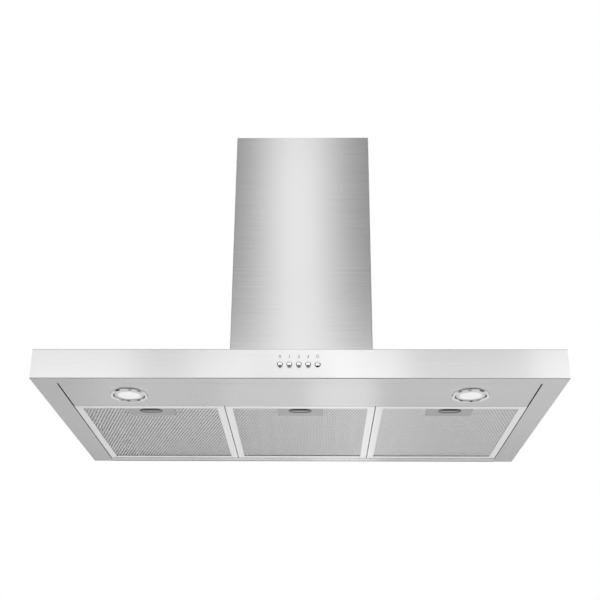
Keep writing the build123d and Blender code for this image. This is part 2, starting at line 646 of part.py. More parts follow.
def lamp_clips(x):
    """Two bent spring clips from the lamp body, which press on the panel from above."""
    start = CAPSULE_RADIUS + TOUCH + CLIP_SHEET / 2
    rest = SHEET + TOUCH + CLIP_SHEET / 2
    path = Polyline(
        (start, rest + SHEET),
        (start, CLIP_HEIGHT),
        (start + CLIP_REACH / 2, CLIP_HEIGHT - SHEET),
        (start + CLIP_REACH, rest),
        (start + CLIP_REACH + SHEET, rest + SHEET),
    )
    section = Plane.XZ * trace(path, CLIP_SHEET)
    clip = Pos(0, CLIP_WIDTH / 2, 0) * extrude(section, CLIP_WIDTH, dir=(0, -1, 0))
    place = Pos(x, PANEL_MIDDLE, 0)
    return [place * clip, place * clip.mirror(Plane.YZ)]


# Electrical parts in the canopy

def terminal_box():
    """Junction box under the canopy's top, open below."""
    x = (-TERMINAL_X - TERMINAL_WIDTH / 2, -TERMINAL_X + TERMINAL_WIDTH / 2)
    y = (COMPARTMENT_MIDDLE - TERMINAL_DEPTH / 2, COMPARTMENT_MIDDLE + TERMINAL_DEPTH / 2)
    bottom = UNDER_TOP - TERMINAL_HEIGHT
    box = block(x, y, (bottom, UNDER_TOP))
    wall = TERMINAL_WALL
    box -= block((x[0] + wall, x[1] - wall), (y[0] + wall, y[1] - wall), (bottom - wall, UNDER_TOP - wall))
    return box


def terminal_lid():
    """Flat lid that closes the junction box from below."""
    x = (-TERMINAL_X - TERMINAL_WIDTH / 2, -TERMINAL_X + TERMINAL_WIDTH / 2)
    y = (COMPARTMENT_MIDDLE - TERMINAL_DEPTH / 2, COMPARTMENT_MIDDLE + TERMINAL_DEPTH / 2)
    bottom = UNDER_TOP - TERMINAL_HEIGHT
    return block(x, y, (bottom - TERMINAL_WALL, bottom))


def terminal_block():
    """Screw terminal strip on the box's ceiling, one screw well for each pole."""
    ceiling = UNDER_TOP - TERMINAL_WALL
    x = (-TERMINAL_X - BLOCK_WIDTH / 2, -TERMINAL_X + BLOCK_WIDTH / 2)
    y = (COMPARTMENT_MIDDLE - BLOCK_DEPTH / 2, COMPARTMENT_MIDDLE + BLOCK_DEPTH / 2)
    strip = block(x, y, (ceiling - BLOCK_HEIGHT, ceiling))
    pitch = BLOCK_WIDTH / POLES
    for number in range(POLES):
        pole = x[0] + pitch * (number + 0.5)
        well = (COMPARTMENT_MIDDLE - pitch / 4, COMPARTMENT_MIDDLE + pitch / 4)
        depth = (ceiling - 1.5 * BLOCK_HEIGHT, ceiling - BLOCK_HEIGHT / 2)
        strip -= block((pole - pitch / 4, pole + pitch / 4), well, depth)
    return strip


def lamp_driver():
    """Supply for the lamps, screwed under the canopy's top by an ear at each end."""
    half = DRIVER_WIDTH / 2
    y = (COMPARTMENT_MIDDLE - DRIVER_DEPTH / 2, COMPARTMENT_MIDDLE + DRIVER_DEPTH / 2)
    body = block((TERMINAL_X - half, TERMINAL_X + half), y, (UNDER_TOP - DRIVER_HEIGHT, UNDER_TOP))
    reach = half + DRIVER_EAR
    ear = (COMPARTMENT_MIDDLE - DRIVER_EAR, COMPARTMENT_MIDDLE + DRIVER_EAR)
    return body + block((TERMINAL_X - reach, TERMINAL_X + reach), ear, (UNDER_TOP - TERMINAL_WALL, UNDER_TOP))


# Airbox

def airbox_body():
    """Back and sides of the airbox, with a slotted flange along the foot of each side."""
    z = (CANOPY_HEIGHT, UNDER_AIR_TOP)
    body = block((-AIR_HALF, AIR_HALF), (-PLATE, 0), z)
    body += both_sides(block((AIR_HALF - PLATE, AIR_HALF), (AIR_FRONT + PLATE, 0), z))
    foot = (CANOPY_HEIGHT, CANOPY_HEIGHT + PLATE)
    edge = AIR_HALF + AIRBOX_FLANGE
    body += both_sides(block((AIR_HALF - PLATE, edge), (AIR_FRONT + PLATE, -CHIMNEY_FLANGE), foot))
    slot = SCREW_RADIUS + TOUCH
    for x, y in screw_places():
        if x > 0:
            body -= both_sides(block((x - slot, edge + PLATE), (y - slot, y + slot), foot))
    for side in (-1, 1):
        x = side * HANGING_SPACING / 2
        body -= rod_y(HANGING_RADIUS, x, (-2 * PLATE, PLATE), HANGING_LEVEL)
        body -= rod_y(LOCKING_RADIUS, x, (-2 * PLATE, PLATE), LOCKING_LEVEL)
    return body


def airbox_front():
    """Front cover of the airbox, with a flange along its foot."""
    cover = block((-AIR_HALF, AIR_HALF), (AIR_FRONT, AIR_FRONT + PLATE), (CANOPY_HEIGHT, UNDER_AIR_TOP))
    foot = (CANOPY_HEIGHT, CANOPY_HEIGHT + PLATE)
    return cover + block((-AIR_HALF, AIR_HALF), (AIR_FRONT - AIRBOX_FLANGE, AIR_FRONT), foot)


def airbox_top():
    """Top plate of the airbox, open over the scroll's outlet and bored for the gland."""
    plate = block((-AIR_HALF, AIR_HALF), (AIR_FRONT, 0), (UNDER_AIR_TOP, AIR_TOP))
    opening = (UNDER_AIR_TOP - PLATE, AIR_TOP + PLATE)
    plate -= block((-SCROLL_HALF_WIDTH, SCROLL_HALF_WIDTH), (OUTLET_FRONT, OUTLET_REAR), opening)
    return plate - flats_z(GLAND_NECK + SEAT, GLAND_X, -GLAND_FROM_WALL, opening, GLAND_FLATS)


def airbox_screws():
    """Hexagon-head screws through the airbox's side flanges into the canopy's top."""
    head = (CANOPY_HEIGHT + PLATE, CANOPY_HEIGHT + PLATE + SCREW_HEAD_HEIGHT)
    screws = []
    for x, y in screw_places():
        screw = flats_z(SCREW_HEAD_RADIUS, x, y, head, GLAND_FLATS)
        screw += flats_z(SCREW_RADIUS, x, y, (head[0] - SCREW_LENGTH, head[0]), SCREW_FLATS)
        screws.append(screw)
    return screws


# Blower

def scroll_outline(grow):
    """The scroll's section across the shaft, with its walls moved out by grow."""
    spiral = []
    for number in range(SCROLL_FLATS + 1):
        share = number / SCROLL_FLATS
        turn = math.radians(TONGUE_ANGLE + share * (360 - TONGUE_ANGLE))
        radius = SCROLL_START + SCROLL_GROWTH * share + grow
        spiral.append((SHAFT_Y + radius * math.cos(turn), SHAFT_Z + radius * math.sin(turn)))
    front = OUTLET_FRONT - grow
    rear = OUTLET_REAR + grow
    corners = [(front, SHAFT_Z), (rear, SHAFT_Z), (rear, UNDER_AIR_TOP), (front, UNDER_AIR_TOP)]
    outlet = make_face(Polyline(corners, close=True))
    return Plane.YZ * (make_face(Polyline(spiral, close=True)) + outlet)


def scroll_half():
    """The right moulded half of the scroll, with its side wall and flared inlet."""
    wall = extrude(scroll_outline(SCROLL_WALL), SCROLL_SIDE)
    wall -= extrude(scroll_outline(0), SCROLL_HALF_WIDTH)
    outlet = (UNDER_AIR_TOP - SCROLL_WALL, UNDER_AIR_TOP + SCROLL_WALL)
    wall -= block((0, SCROLL_HALF_WIDTH), (OUTLET_FRONT, OUTLET_REAR), outlet)
    throat = Plane((SCROLL_SIDE, SHAFT_Y, SHAFT_Z), x_dir=(0, 1, 0), z_dir=(1, 0, 0))
    mouth = INLET_RADIUS + BELL_WIDTH
    wall += widening(throat, INLET_RADIUS + SCROLL_WALL, mouth + SCROLL_WALL, BELL_HEIGHT)
    wall -= widening(throat, INLET_RADIUS, mouth, BELL_HEIGHT)
    return wall - flats_x(INLET_RADIUS, (SCROLL_HALF_WIDTH - SCROLL_WALL, SCROLL_SIDE), SHAFT_Y, SHAFT_Z)


def impeller_blade():
    """Section of one forward-curved blade, bent once between its root and its tip."""
    middle = (BLADE_ROOT + BLADE_TIP) / 2
    thickness = math.degrees(BLADE_SHEET / middle)
    bend = BLADE_LEAD / 2 - BLADE_SAG
    back = [(BLADE_ROOT, 0), (middle, bend), (BLADE_TIP, BLADE_LEAD)]
    face = [(radius, degrees + thickness) for radius, degrees in back[::-1]]
    corners = []
    for radius, degrees in back + face:
        turn = math.radians(degrees)
        corners.append((radius * math.cos(turn), radius * math.sin(turn)))
    return make_face(Polyline(corners, close=True))


def impeller():
    """Double-inlet wheel: blades from ring to ring through a centre disc with a hexagonal hub."""
    blade = impeller_blade()
    blades = [Rot(0, 0, 360 * number / BLADES) * blade for number in range(BLADES)]
    wheel = extrude(Sketch() + blades, IMPELLER_HALF_WIDTH - RING_THICKNESS, both=True)
    half = DISC_THICKNESS / 2
    wheel += flats_z(IMPELLER_RADIUS, 0, 0, (-half, half), BLADES)
    ends = (IMPELLER_HALF_WIDTH - RING_THICKNESS, IMPELLER_HALF_WIDTH)
    ring = flats_z(IMPELLER_RADIUS, 0, 0, ends, BLADES)
    ring -= flats_z(IMPELLER_RADIUS - RING_DEPTH, 0, 0, ends, BLADES)
    wheel += [ring, ring.mirror(Plane.XY)]
    wheel += flats_z(HUB_RADIUS, 0, 0, (half, HUB_LENGTH - half), HUB_FLATS)
    wheel -= Cylinder(SHAFT_RADIUS + RUNNING, 4 * HUB_LENGTH)
    return Plane((0, SHAFT_Y, SHAFT_Z), x_dir=(0, 1, 0), z_dir=(1, 0, 0)) * wheel


def motor_shaft():
    """Shaft from the motor's bearing through the impeller's hub."""
    start = MOTOR_FACE - BEARING_DEPTH + SEAT
    return rod_x(SHAFT_RADIUS, (start, HUB_LENGTH - DISC_THICKNESS / 2 + SHAFT_OVERHANG), SHAFT_Y, SHAFT_Z)


def motor():
    """Motor body in the left inlet, bored at its inner end for the shaft's bearing."""
    body = flats_x(MOTOR_RADIUS, (MOTOR_END, MOTOR_FACE), SHAFT_Y, SHAFT_Z)
    body = chamfer(body.edges().group_by(Axis.X)[0], MOTOR_BEVEL)
    bore = (MOTOR_FACE - BEARING_DEPTH, MOTOR_FACE + PLATE)
    return body - rod_x(SHAFT_RADIUS + RUNNING, bore, SHAFT_Y, SHAFT_Z)


def motor_bracket():
    """Three-armed strip across the motor's outer end, its feet on the scroll's side wall."""
    plate = (MOTOR_END - BRACKET_SHEET, MOTOR_END)
    foot = (-SCROLL_SIDE - BRACKET_SHEET, -SCROLL_SIDE)
    width = (-ARM_WIDTH / 2, ARM_WIDTH / 2)
    arm = block(plate, width, (0, ARM_REACH + BRACKET_SHEET))
    arm += block((MOTOR_END - BRACKET_SHEET, -SCROLL_SIDE), width, (ARM_REACH, ARM_REACH + BRACKET_SHEET))
    arm += block(foot, width, (ARM_REACH, ARM_REACH + FOOT_LENGTH))
    arms = [Rot(360 * number / ARMS, 0, 0) * arm for number in range(ARMS)]
    return Pos(0, SHAFT_Y, SHAFT_Z) * (arms[0] + arms[1:])


def capacitor():
    """Boxed run capacitor, held to the airbox's left wall by an ear at its front end."""
    low = CANOPY_HEIGHT + CAPACITOR_RISE
    base = -AIR_HALF + PLATE
    rear = AIR_FRONT + PLATE + CAPACITOR_EAR + CAPACITOR_DEPTH
    box = block((base, base + CAPACITOR_WIDTH), (rear - CAPACITOR_DEPTH, rear), (low, low + CAPACITOR_HEIGHT))
    ear = (low + CAPACITOR_HEIGHT / 4, low + CAPACITOR_HEIGHT * 3 / 4)
    front = AIR_FRONT + PLATE + SEAT
    return box + block((base, base + BASE_THICKNESS), (front, rear - CAPACITOR_DEPTH), ear)


# Outlet

def outlet_funnel(grow):
    """The transition's body, folded from the square outlet to the many-sided head, grown by the wall."""
    half = SCROLL_HALF_WIDTH + grow
    front = OUTLET_FRONT - grow
    rear = OUTLET_REAR + grow
    corners = [Vector(half, rear, AIR_TOP), Vector(-half, rear, AIR_TOP)]
    corners += [Vector(-half, front, AIR_TOP), Vector(half, front, AIR_TOP)]
    radius = COLLAR_INSIDE + grow
    head = []
    for number in range(HEAD_FLATS):
        turn = 2 * math.pi * number / HEAD_FLATS
        head.append(Vector(radius * math.cos(turn), COLLAR_Y + radius * math.sin(turn), COLLAR_FOOT))
    quarter = HEAD_FLATS // 4
    outlines = [corners, head]
    for number, corner in enumerate(corners):
        fan = [head[(number * quarter + step) % HEAD_FLATS] for step in range(quarter + 1)]
        outlines += [[corner, first, second] for first, second in zip(fan, fan[1:])]
        outlines.append([corner, fan[-1], corners[(number + 1) % 4]])
    return Solid(Shell([make_face(Polyline(outline, close=True)).face() for outline in outlines]))


def outlet_collar():
    """Folded transition to the round collar, with stops for the flaps and seats for their pin."""
    body = outlet_funnel(COLLAR_WALL) + rod_z(COLLAR_RADIUS, 0, COLLAR_Y, (COLLAR_FOOT, COLLAR_TOP))
    half = SCROLL_HALF_WIDTH + BASE_FLANGE
    flange = (OUTLET_FRONT - BASE_FLANGE, -PLATE - SEAT)
    body += block((-half, half), flange, (AIR_TOP, AIR_TOP + BASE_THICKNESS))
    body -= outlet_funnel(0)
    body -= flats_z(COLLAR_INSIDE, 0, COLLAR_Y, (COLLAR_FOOT, COLLAR_TOP + PLATE))
    stop_top = PIN_Z - FLAP_SHEET / 2 - SEAT
    wall = COLLAR_INSIDE + COLLAR_WALL / 2
    for side in (-1, 1):
        y = sorted((COLLAR_Y + side * (COLLAR_INSIDE - STOP_DEPTH), COLLAR_Y + side * wall))
        body += block((-STOP_WIDTH / 2, STOP_WIDTH / 2), y, (stop_top - STOP_THICKNESS, stop_top))
    lug_y = (COLLAR_Y - LUG_WIDTH / 2, COLLAR_Y + LUG_WIDTH / 2)
    lug_z = (PIN_Z - LUG_HEIGHT, PIN_Z + PIN_RADIUS)
    body += both_sides(block((COLLAR_INSIDE - LUG_DEPTH, wall), lug_y, lug_z))
    slot = PIN_RADIUS + RUNNING
    slot_y = (COLLAR_Y - slot, COLLAR_Y + slot)
    edge = COLLAR_INSIDE - LUG_DEPTH - SEAT
    return body - both_sides(block((edge, COLLAR_INSIDE - SEAT), slot_y, (PIN_Z - slot, PIN_Z + 2 * slot)))


def damper_pin():
    """Pin across the collar that carries both flaps."""
    half = COLLAR_INSIDE - 2 * SEAT
    return rod_x(PIN_RADIUS, (-half, half), COLLAR_Y, PIN_Z)


def damper_flap(side):
    """Half of a many-sided disc with its share of the knuckles on the pin."""
    radius = COLLAR_INSIDE - FLAP_GAP
    knuckle = PIN_RADIUS + RUNNING + KNUCKLE_WALL
    edge = knuckle + 2 * TOUCH
    level = (PIN_Z - FLAP_SHEET / 2, PIN_Z + FLAP_SHEET / 2)
    flap = flats_z(radius, 0, COLLAR_Y, level)
    far = sorted((COLLAR_Y + side * edge, COLLAR_Y + side * 2 * radius))
    flap &= block((-radius, radius), far, level)
    notch = sorted((COLLAR_Y, COLLAR_Y + side * (LUG_WIDTH / 2 + FLAP_GAP)))
    flap -= both_sides(block((COLLAR_INSIDE - LUG_DEPTH - FLAP_GAP, COLLAR_RADIUS), notch, level))
    reach = COLLAR_INSIDE - LUG_DEPTH - 2 * FLAP_GAP
    pitch = 2 * reach / KNUCKLES
    for number in range(KNUCKLES):
        if (number % 2 == 0) != (side > 0):
            continue
        x = (-reach + number * pitch + SEAT, -reach + (number + 1) * pitch - SEAT)
        web = sorted((COLLAR_Y, COLLAR_Y + side * (edge + FLAP_SHEET)))
        flap += flats_x(knuckle, x, COLLAR_Y, PIN_Z, KNUCKLE_FLATS) + block(x, web, level)
    return flap - rod_x(PIN_RADIUS + RUNNING, (-radius, radius), COLLAR_Y, PIN_Z)


def cable_gland():
    """Hexagonal gland in the airbox's top for the mains cable, bored through."""
    x = GLAND_X
    y = -GLAND_FROM_WALL
    body = flats_z(GLAND_RADIUS, x, y, (AIR_TOP, AIR_TOP + GLAND_FLANGE), GLAND_FLATS)
    top = Plane((x, y, AIR_TOP + GLAND_FLANGE))
    body += widening(top, GLAND_RADIUS - SHEET, GLAND_NECK, GLAND_DOME, GLAND_FLATS)
    body += flats_z(GLAND_NECK, x, y, (UNDER_AIR_TOP - GLAND_DOME, AIR_TOP), GLAND_FLATS)
    body += flats_z(GLAND_RADIUS, x, y, (UNDER_AIR_TOP - GLAND_FLANGE, UNDER_AIR_TOP), GLAND_FLATS)
    return body - rod_z(GLAND_BORE, x, y, (UNDER_AIR_TOP - 2 * GLAND_DOME, AIR_TOP + 2 * GLAND_DOME))


# Chimney covers

def chimney_cover(half, front, rear, bottom, top):
    """Three-sided cover, open to the wall, with a narrow flange turned in along each rear edge."""
    body = block((-half, half), (front, rear), (bottom, top))
    corners = body.edges().filter_by(Axis.Z).sort_by(Axis.Y)[:2]
    body = fillet(corners, CHIMNEY_FOLD)
    inside = half - SHEET
    through = (bottom - SHEET, top + SHEET)
    body -= block((-inside, inside), (front + SHEET, rear - SHEET), through)
    opening = half - CHIMNEY_FLANGE
    return body - block((-opening, opening), (rear - 2 * SHEET, rear + SHEET), through)


def chimney_lower():
    """Lower cover, standing on the canopy's top."""
    return chimney_cover(LOWER_HALF, -CHIMNEY_DEPTH, 0, CANOPY_HEIGHT, CHIMNEY_TOP)


def chimney_upper():
    """Upper cover, pushed down inside the lower one, with air slots near its top."""
    cover = chimney_cover(UPPER_HALF, UPPER_FRONT, UPPER_REAR, UPPER_TOP - UPPER_HEIGHT, UPPER_TOP)
    middle = (UPPER_FRONT + UPPER_REAR) / 2
    length = (middle - VENT_LENGTH / 2, middle + VENT_LENGTH / 2)
    for number in range(VENTS):
        level = UPPER_TOP - VENT_DROP - number * VENT_PITCH
        cover -= block((-LOWER_HALF, LOWER_HALF), length, (level - VENT_HEIGHT, level))
    return cover


def chimney_hanger():
    """Wall strip that holds the upper cover's top, with an arm along each side wall."""
    z = (UPPER_TOP - HANGER_DROP - HANGER_HEIGHT, UPPER_TOP - HANGER_DROP)
    inside = UPPER_HALF - SHEET - SEAT
    strip_half = LOWER_HALF - CHIMNEY_FLANGE - SHEET - 2 * SEAT
    jog = UPPER_REAR - SHEET - SEAT
    strip = block((-strip_half, strip_half), (-HANGER_SHEET, 0), z)
    corner = block((strip_half - HANGER_SHEET, strip_half), (jog - HANGER_SHEET, 0), z)
    corner += block((strip_half - HANGER_SHEET, inside), (jog - HANGER_SHEET, jog), z)
    corner += block((inside - HANGER_SHEET, inside), (jog - HANGER_ARM, jog), z)
    strip += both_sides(corner)
    middle = UPPER_TOP - HANGER_DROP - HANGER_HEIGHT / 2
    for side in (-1, 1):
        x = side * HANGER_HOLE_SPACING / 2
        strip -= rod_y(HANGER_HOLE_RADIUS, x, (-2 * HANGER_SHEET, HANGER_SHEET), middle)
    return strip


def build():
    """Writes every node of the hood."""
    os.makedirs("parts", exist_ok=True)
    save("canopy_skin", canopy_skin())
    save("canopy_back_panel", canopy_back_panel())
    save("lamp_panel", lamp_panel())

    frame = filter_frame()
    mesh = filter_mesh()
    tray = latch_tray()
    slider = latch_slider()
    spring = latch_spring()
    for name, x in zip(FILTER_NAMES, filter_places()):
        place = Pos(x, 0, 0)
        save(f"filter_frame_{name}", *[place * rail for rail in frame])
        save(f"filter_mesh_{name}", *[place * sheet for sheet in mesh])
        save(f"latch_tray_{name}", place * tray)
        save(f"latch_slider_{name}", place * slider)
        save(f"latch_spring_{name}", place * spring)

    for name, x in zip(BUTTON_NAMES, button_places()):
        save(f"button_{name}", button(x, LIGHT_LATCHED if name == "light" else 0))
    save("switch_block", switch_block())
    save("switch_bracket", switch_bracket())

    for name, side in (("left", -1), ("right", 1)):
        x = side * LAMP_X
        save(f"lamp_ring_{name}", lamp_ring(x))
        save(f"lamp_capsule_{name}", lamp_capsule(x))
        save(f"lamp_lens_{name}", lamp_lens(x))
        save(f"lamp_board_{name}", lamp_board(x))
        save(f"lamp_clips_{name}", *lamp_clips(x))

    save("terminal_box", terminal_box())
    save("terminal_lid", terminal_lid())
    save("terminal_block", terminal_block())
    save("lamp_driver", lamp_driver())

    save("airbox_body", airbox_body())
    save("airbox_front", airbox_front())
    save("airbox_top", airbox_top())
    save("airbox_screws", *airbox_screws())
    save("cable_gland", cable_gland())

    half = scroll_half()
    save("scroll_half_left", half.mirror(Plane.YZ))
    save("scroll_half_right", half)
    save("impeller", impeller())
    save("motor_shaft", motor_shaft())
    save("motor", motor())
    save("motor_bracket", motor_bracket())
    save("capacitor", capacitor())

    save("outlet_collar", outlet_collar())
    save("damper_pin", damper_pin())
    save("damper_flap_front", damper_flap(-1))
    save("damper_flap_rear", damper_flap(1))

    save("chimney_lower", chimney_lower())
    save("chimney_upper", chimney_upper())
    save("chimney_hanger", chimney_hanger())


build()
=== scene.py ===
"""Looks of a wall-mounted canopy hood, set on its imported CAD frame.

Lengths are in metres, apart from those whose name ends in _mm. The wall is the plane y = 0, the front faces
-y and the canopy's underside is z = 0.
"""

import logging
import math
from dataclasses import dataclass
from enum import Enum
from typing import Any, ClassVar, Iterable, Optional, Sequence, Union

import bpy
from mathutils import Matrix, Vector


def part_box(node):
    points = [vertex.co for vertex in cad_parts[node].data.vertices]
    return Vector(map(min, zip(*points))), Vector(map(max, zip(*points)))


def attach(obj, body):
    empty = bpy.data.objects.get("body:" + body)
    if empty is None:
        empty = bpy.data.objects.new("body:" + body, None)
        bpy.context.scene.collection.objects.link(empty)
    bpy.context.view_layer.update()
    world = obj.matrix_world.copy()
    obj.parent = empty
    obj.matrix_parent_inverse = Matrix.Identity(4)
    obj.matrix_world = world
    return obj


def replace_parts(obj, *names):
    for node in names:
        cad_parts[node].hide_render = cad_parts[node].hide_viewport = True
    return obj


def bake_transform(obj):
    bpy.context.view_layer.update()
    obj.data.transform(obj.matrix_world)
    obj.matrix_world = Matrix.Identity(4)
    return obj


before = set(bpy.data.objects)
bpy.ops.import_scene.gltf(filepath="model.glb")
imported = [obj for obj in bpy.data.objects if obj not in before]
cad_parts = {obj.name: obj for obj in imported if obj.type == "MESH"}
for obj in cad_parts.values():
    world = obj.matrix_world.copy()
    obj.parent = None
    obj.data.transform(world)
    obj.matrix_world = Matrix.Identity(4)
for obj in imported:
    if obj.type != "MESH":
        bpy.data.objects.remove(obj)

LOG = logging.getLogger("hood")
MM = 0.001
# Lengths under this count as nothing.
HAIR = 1e-6
# Faces that meet at less than this are shaded as one round surface.
SMOOTH_BELOW = math.radians(32)
# Nearly all of a noise pattern lies between these.
NOISE = (0.3, 0.7)
UP = Vector((0.0, 0.0, 1.0))

Point = tuple[float, float, float]
Line = list[tuple[float, float]]
Faces = list[list[int]]
Shape = tuple[list[Point], Faces]
Node = bpy.types.Node
Socket = bpy.types.NodeSocket
Tree = bpy.types.NodeTree
Pattern = Union[Node, Socket]


def linear(code: str) -> tuple[float, float, float, float]:
    """Turns an sRGB hex colour into linear values.

    Args:
        code: colour such as "#C8C8C6".

    Returns:
        Linear red, green, blue and an alpha of 1.
    """
    parts = [int(code[start : start + 2], 16) / 255 for start in (1, 3, 5)]
    # The sRGB curve is straight near black and a power above it.
    values = [part / 12.92 if part <= 0.04045 else ((part + 0.055) / 1.055) ** 2.4 for part in parts]
    return values[0], values[1], values[2], 1.0


def add_node(tree: Tree, kind: str, inputs: Optional[dict] = None, **settings: Any) -> Node:
    """Adds a shader node with its settings and links.

    Args:
        tree: node tree that gets it.
        kind: Blender's name for the node type, without "ShaderNode" before it.
        inputs: socket name or number to a value, to another node's socket, or to a node, which stands for
            its first socket in use.
        settings: attributes of the node.

    Returns:
        The node.
    """
    node = tree.nodes.new(f"ShaderNode{kind}")
    for name, value in settings.items():
        setattr(node, name, value)
    for key, value in (inputs or {}).items():
        named = [socket for socket in node.inputs if socket.enabled and socket.name == key]
        entry = named[0] if named else node.inputs[key]
        if isinstance(value, Node):
            value = next(socket for socket in value.outputs if socket.enabled)
        if isinstance(value, Socket):
            tree.links.new(value, entry)
        else:
            entry.default_value = value
    return node


def span(pattern: Pattern, first: float, last: float, low: float = 0.0, high: float = 1.0) -> dict:
    """Sets out how a pattern's range turns into a range of values.

    Args:
        pattern: the pattern.
        first: start of the pattern's range.
        last: end of the pattern's range.
        low: value at the start.
        high: value at the end.

    Returns:
        Inputs of a node that maps one range onto the other.
    """
    return {"Value": pattern, "From Min": first, "From Max": last, "To Min": low, "To Max": high}


def shades(share: Pattern, first: str, last: str) -> dict:
    """Sets out a change from one colour to another.

    Args:
        share: pattern that is 0 at the first colour and 1 at the last.
        first: hex colour.
        last: hex colour.

    Returns:
        Inputs of a node that mixes the two.
    """
    return {"Factor": share, "A": linear(first), "B": linear(last)}


def sized(coords: Pattern, size_mm: float, detail: float) -> dict:
    """Sets out a pattern that repeats over a real size.

    Args:
        coords: object coordinates.
        size_mm: the real size in millimetres.
        detail: how many finer layers the pattern has.

    Returns:
        Inputs of a noise or cell node.
    """
    return {"Vector": coords, "Scale": 1 / (size_mm * MM), "Detail": detail}


class Axis(Enum):
    """Directions of the hood: along its front, towards the wall, and up."""

    ACROSS = "X"
    BACK = "Y"
    UP = "Z"


@dataclass(frozen=True)
class PaintedShade:
    """Painted shade: a darker part of a surface, beyond a level on one axis."""

    axis: Axis
    level_mm: float
    onward: bool = True
    colour: str = "#101010"
    metallic: float = 0.0
    # The change takes this much, so that it isn't a hard line.
    blend_mm: float = 0.1

    def lay_over(self, tree: Tree, coords: Socket, colour: Node) -> tuple[Node, Node]:
        """Lays the painted shade over a surface's colour.

        Args:
            tree: node tree.
            coords: object coordinates.
            colour: the surface's colour.

        Returns:
            The new colour, and a node that is 1 in the darker part and 0 outside it.
        """
        place = add_node(tree, "SeparateXYZ", {0: coords}).outputs[self.axis.value]
        start, end = self.level_mm * MM, (self.level_mm + self.blend_mm) * MM
        low, high = (0.0, 1.0) if self.onward else (1.0, 0.0)
        share = add_node(tree, "MapRange", span(place, start, end, low, high))
        sockets = {"Factor": share, "A": colour, "B": linear(self.colour)}
        return add_node(tree, "Mix", sockets, data_type="RGBA"), share


@dataclass(frozen=True)
class Surface:
    """One finish. Each kind draws its own pattern for the shader's sockets."""

    shader: ClassVar[str] = "BsdfPrincipled"
    name: str

    def sockets(self, tree: Tree) -> dict:
        """Draws the pattern.

        Args:
            tree: the material's node tree.

        Returns:
            The shader's inputs.
        """
        raise NotImplementedError

    def material(self) -> bpy.types.Material:
        """Makes the material at its first use.

        Returns:
            The material.
        """
        material = bpy.data.materials.get(self.name)
        if material is None:
            material = bpy.data.materials.new(self.name)
            material.use_nodes = True
            tree = material.node_tree
            tree.nodes.clear()
            shader = add_node(tree, self.shader, self.sockets(tree))
            add_node(tree, "OutputMaterial", {"Surface": shader})
        return material


@dataclass(frozen=True)
class BrushedSteel(Surface):
    """Sheet steel brushed along its length, with satin streaks that spread a highlight across the grain."""

    light: str
    dark: str
    roughness: float = 0.25
    # The roughness changes this much from line to line, either way.
    unevenness: float = 0.015
    anisotropy: float = 0.7
    # A real brushed line is 0.1 mm wide. It is drawn at 1.6 mm, because finer lines don't show.
    line_mm: float = 1.6
    run_mm: float = 160.0
    # Rolled sheet isn't quite even: its tone changes slowly.
    patch_mm: float = 250.0
    patch_share: float = 0.35
    tones: tuple[float, float] = (0.25, 0.75)
    relief: float = 0.015
    depth_mm: float = 0.05
    # The highlight stretches along these shares of y and z: up on upright faces and along y on level ones.
    stretch: tuple[float, float] = (0.05, 1.0)
    # Painted shade over part of the sheet, if it has one.
    painted_shade: Optional[PaintedShade] = None

    def sockets(self, tree: Tree) -> dict:
        """Draws the pattern.

        Args:
            tree: the material's node tree.

        Returns:
            The shader's inputs.
        """
        coords = add_node(tree, "TexCoord").outputs
        place = add_node(tree, "SeparateXYZ", {0: coords["Object"]}).outputs
        normal = add_node(tree, "VectorMath", {0: coords["Normal"]}, operation="ABSOLUTE")
        facing = add_node(tree, "SeparateXYZ", {0: normal}).outputs
        along = add_node(tree, "Mix", {"Factor": facing["X"], "A": place["X"], "B": place["Y"]})
        across = add_node(tree, "Mix", {"Factor": facing["Z"], "A": place["Z"], "B": place["Y"]})
        flat = add_node(tree, "CombineXYZ", {"X": along, "Y": across})
        spread = (1 / (self.run_mm * MM), 1 / (self.line_mm * MM), 1.0)
        grain = add_node(tree, "VectorMath", {0: flat, 1: spread}, operation="MULTIPLY")
        streaks = {"Vector": grain, "Scale": 1.0, "Detail": 3.0, "Roughness": 0.6}
        lines = add_node(tree, "TexNoise", streaks, noise_dimensions="2D")
        patches = add_node(tree, "TexNoise", sized(coords["Object"], self.patch_mm, detail=1.0))
        grey = add_node(tree, "Mix", {"Factor": self.patch_share, "A": lines, "B": patches})
        relief = {"Height": lines, "Strength": self.relief, "Distance": self.depth_mm * MM}
        tone = add_node(tree, "MapRange", span(grey, *self.tones))
        colour = add_node(tree, "Mix", shades(tone, self.dark, self.light), data_type="RGBA")
        metallic: Any = 1.0
        if self.painted_shade:
            colour, share = self.painted_shade.lay_over(tree, coords["Object"], colour)
            if self.painted_shade.metallic < 1.0:
                metallic = add_node(tree, "MapRange", span(share, 0.0, 1.0, 1.0, self.painted_shade.metallic))
        least, most = self.roughness - self.unevenness, self.roughness + self.unevenness
        return {
            "Base Color": colour,
            "Metallic": metallic,
            "Roughness": add_node(tree, "MapRange", span(lines, *NOISE, least, most)),
            "Anisotropic": self.anisotropy,
            "Tangent": add_node(tree, "CombineXYZ", dict(zip("YZ", self.stretch))),
            "Normal": add_node(tree, "Bump", relief),
        }


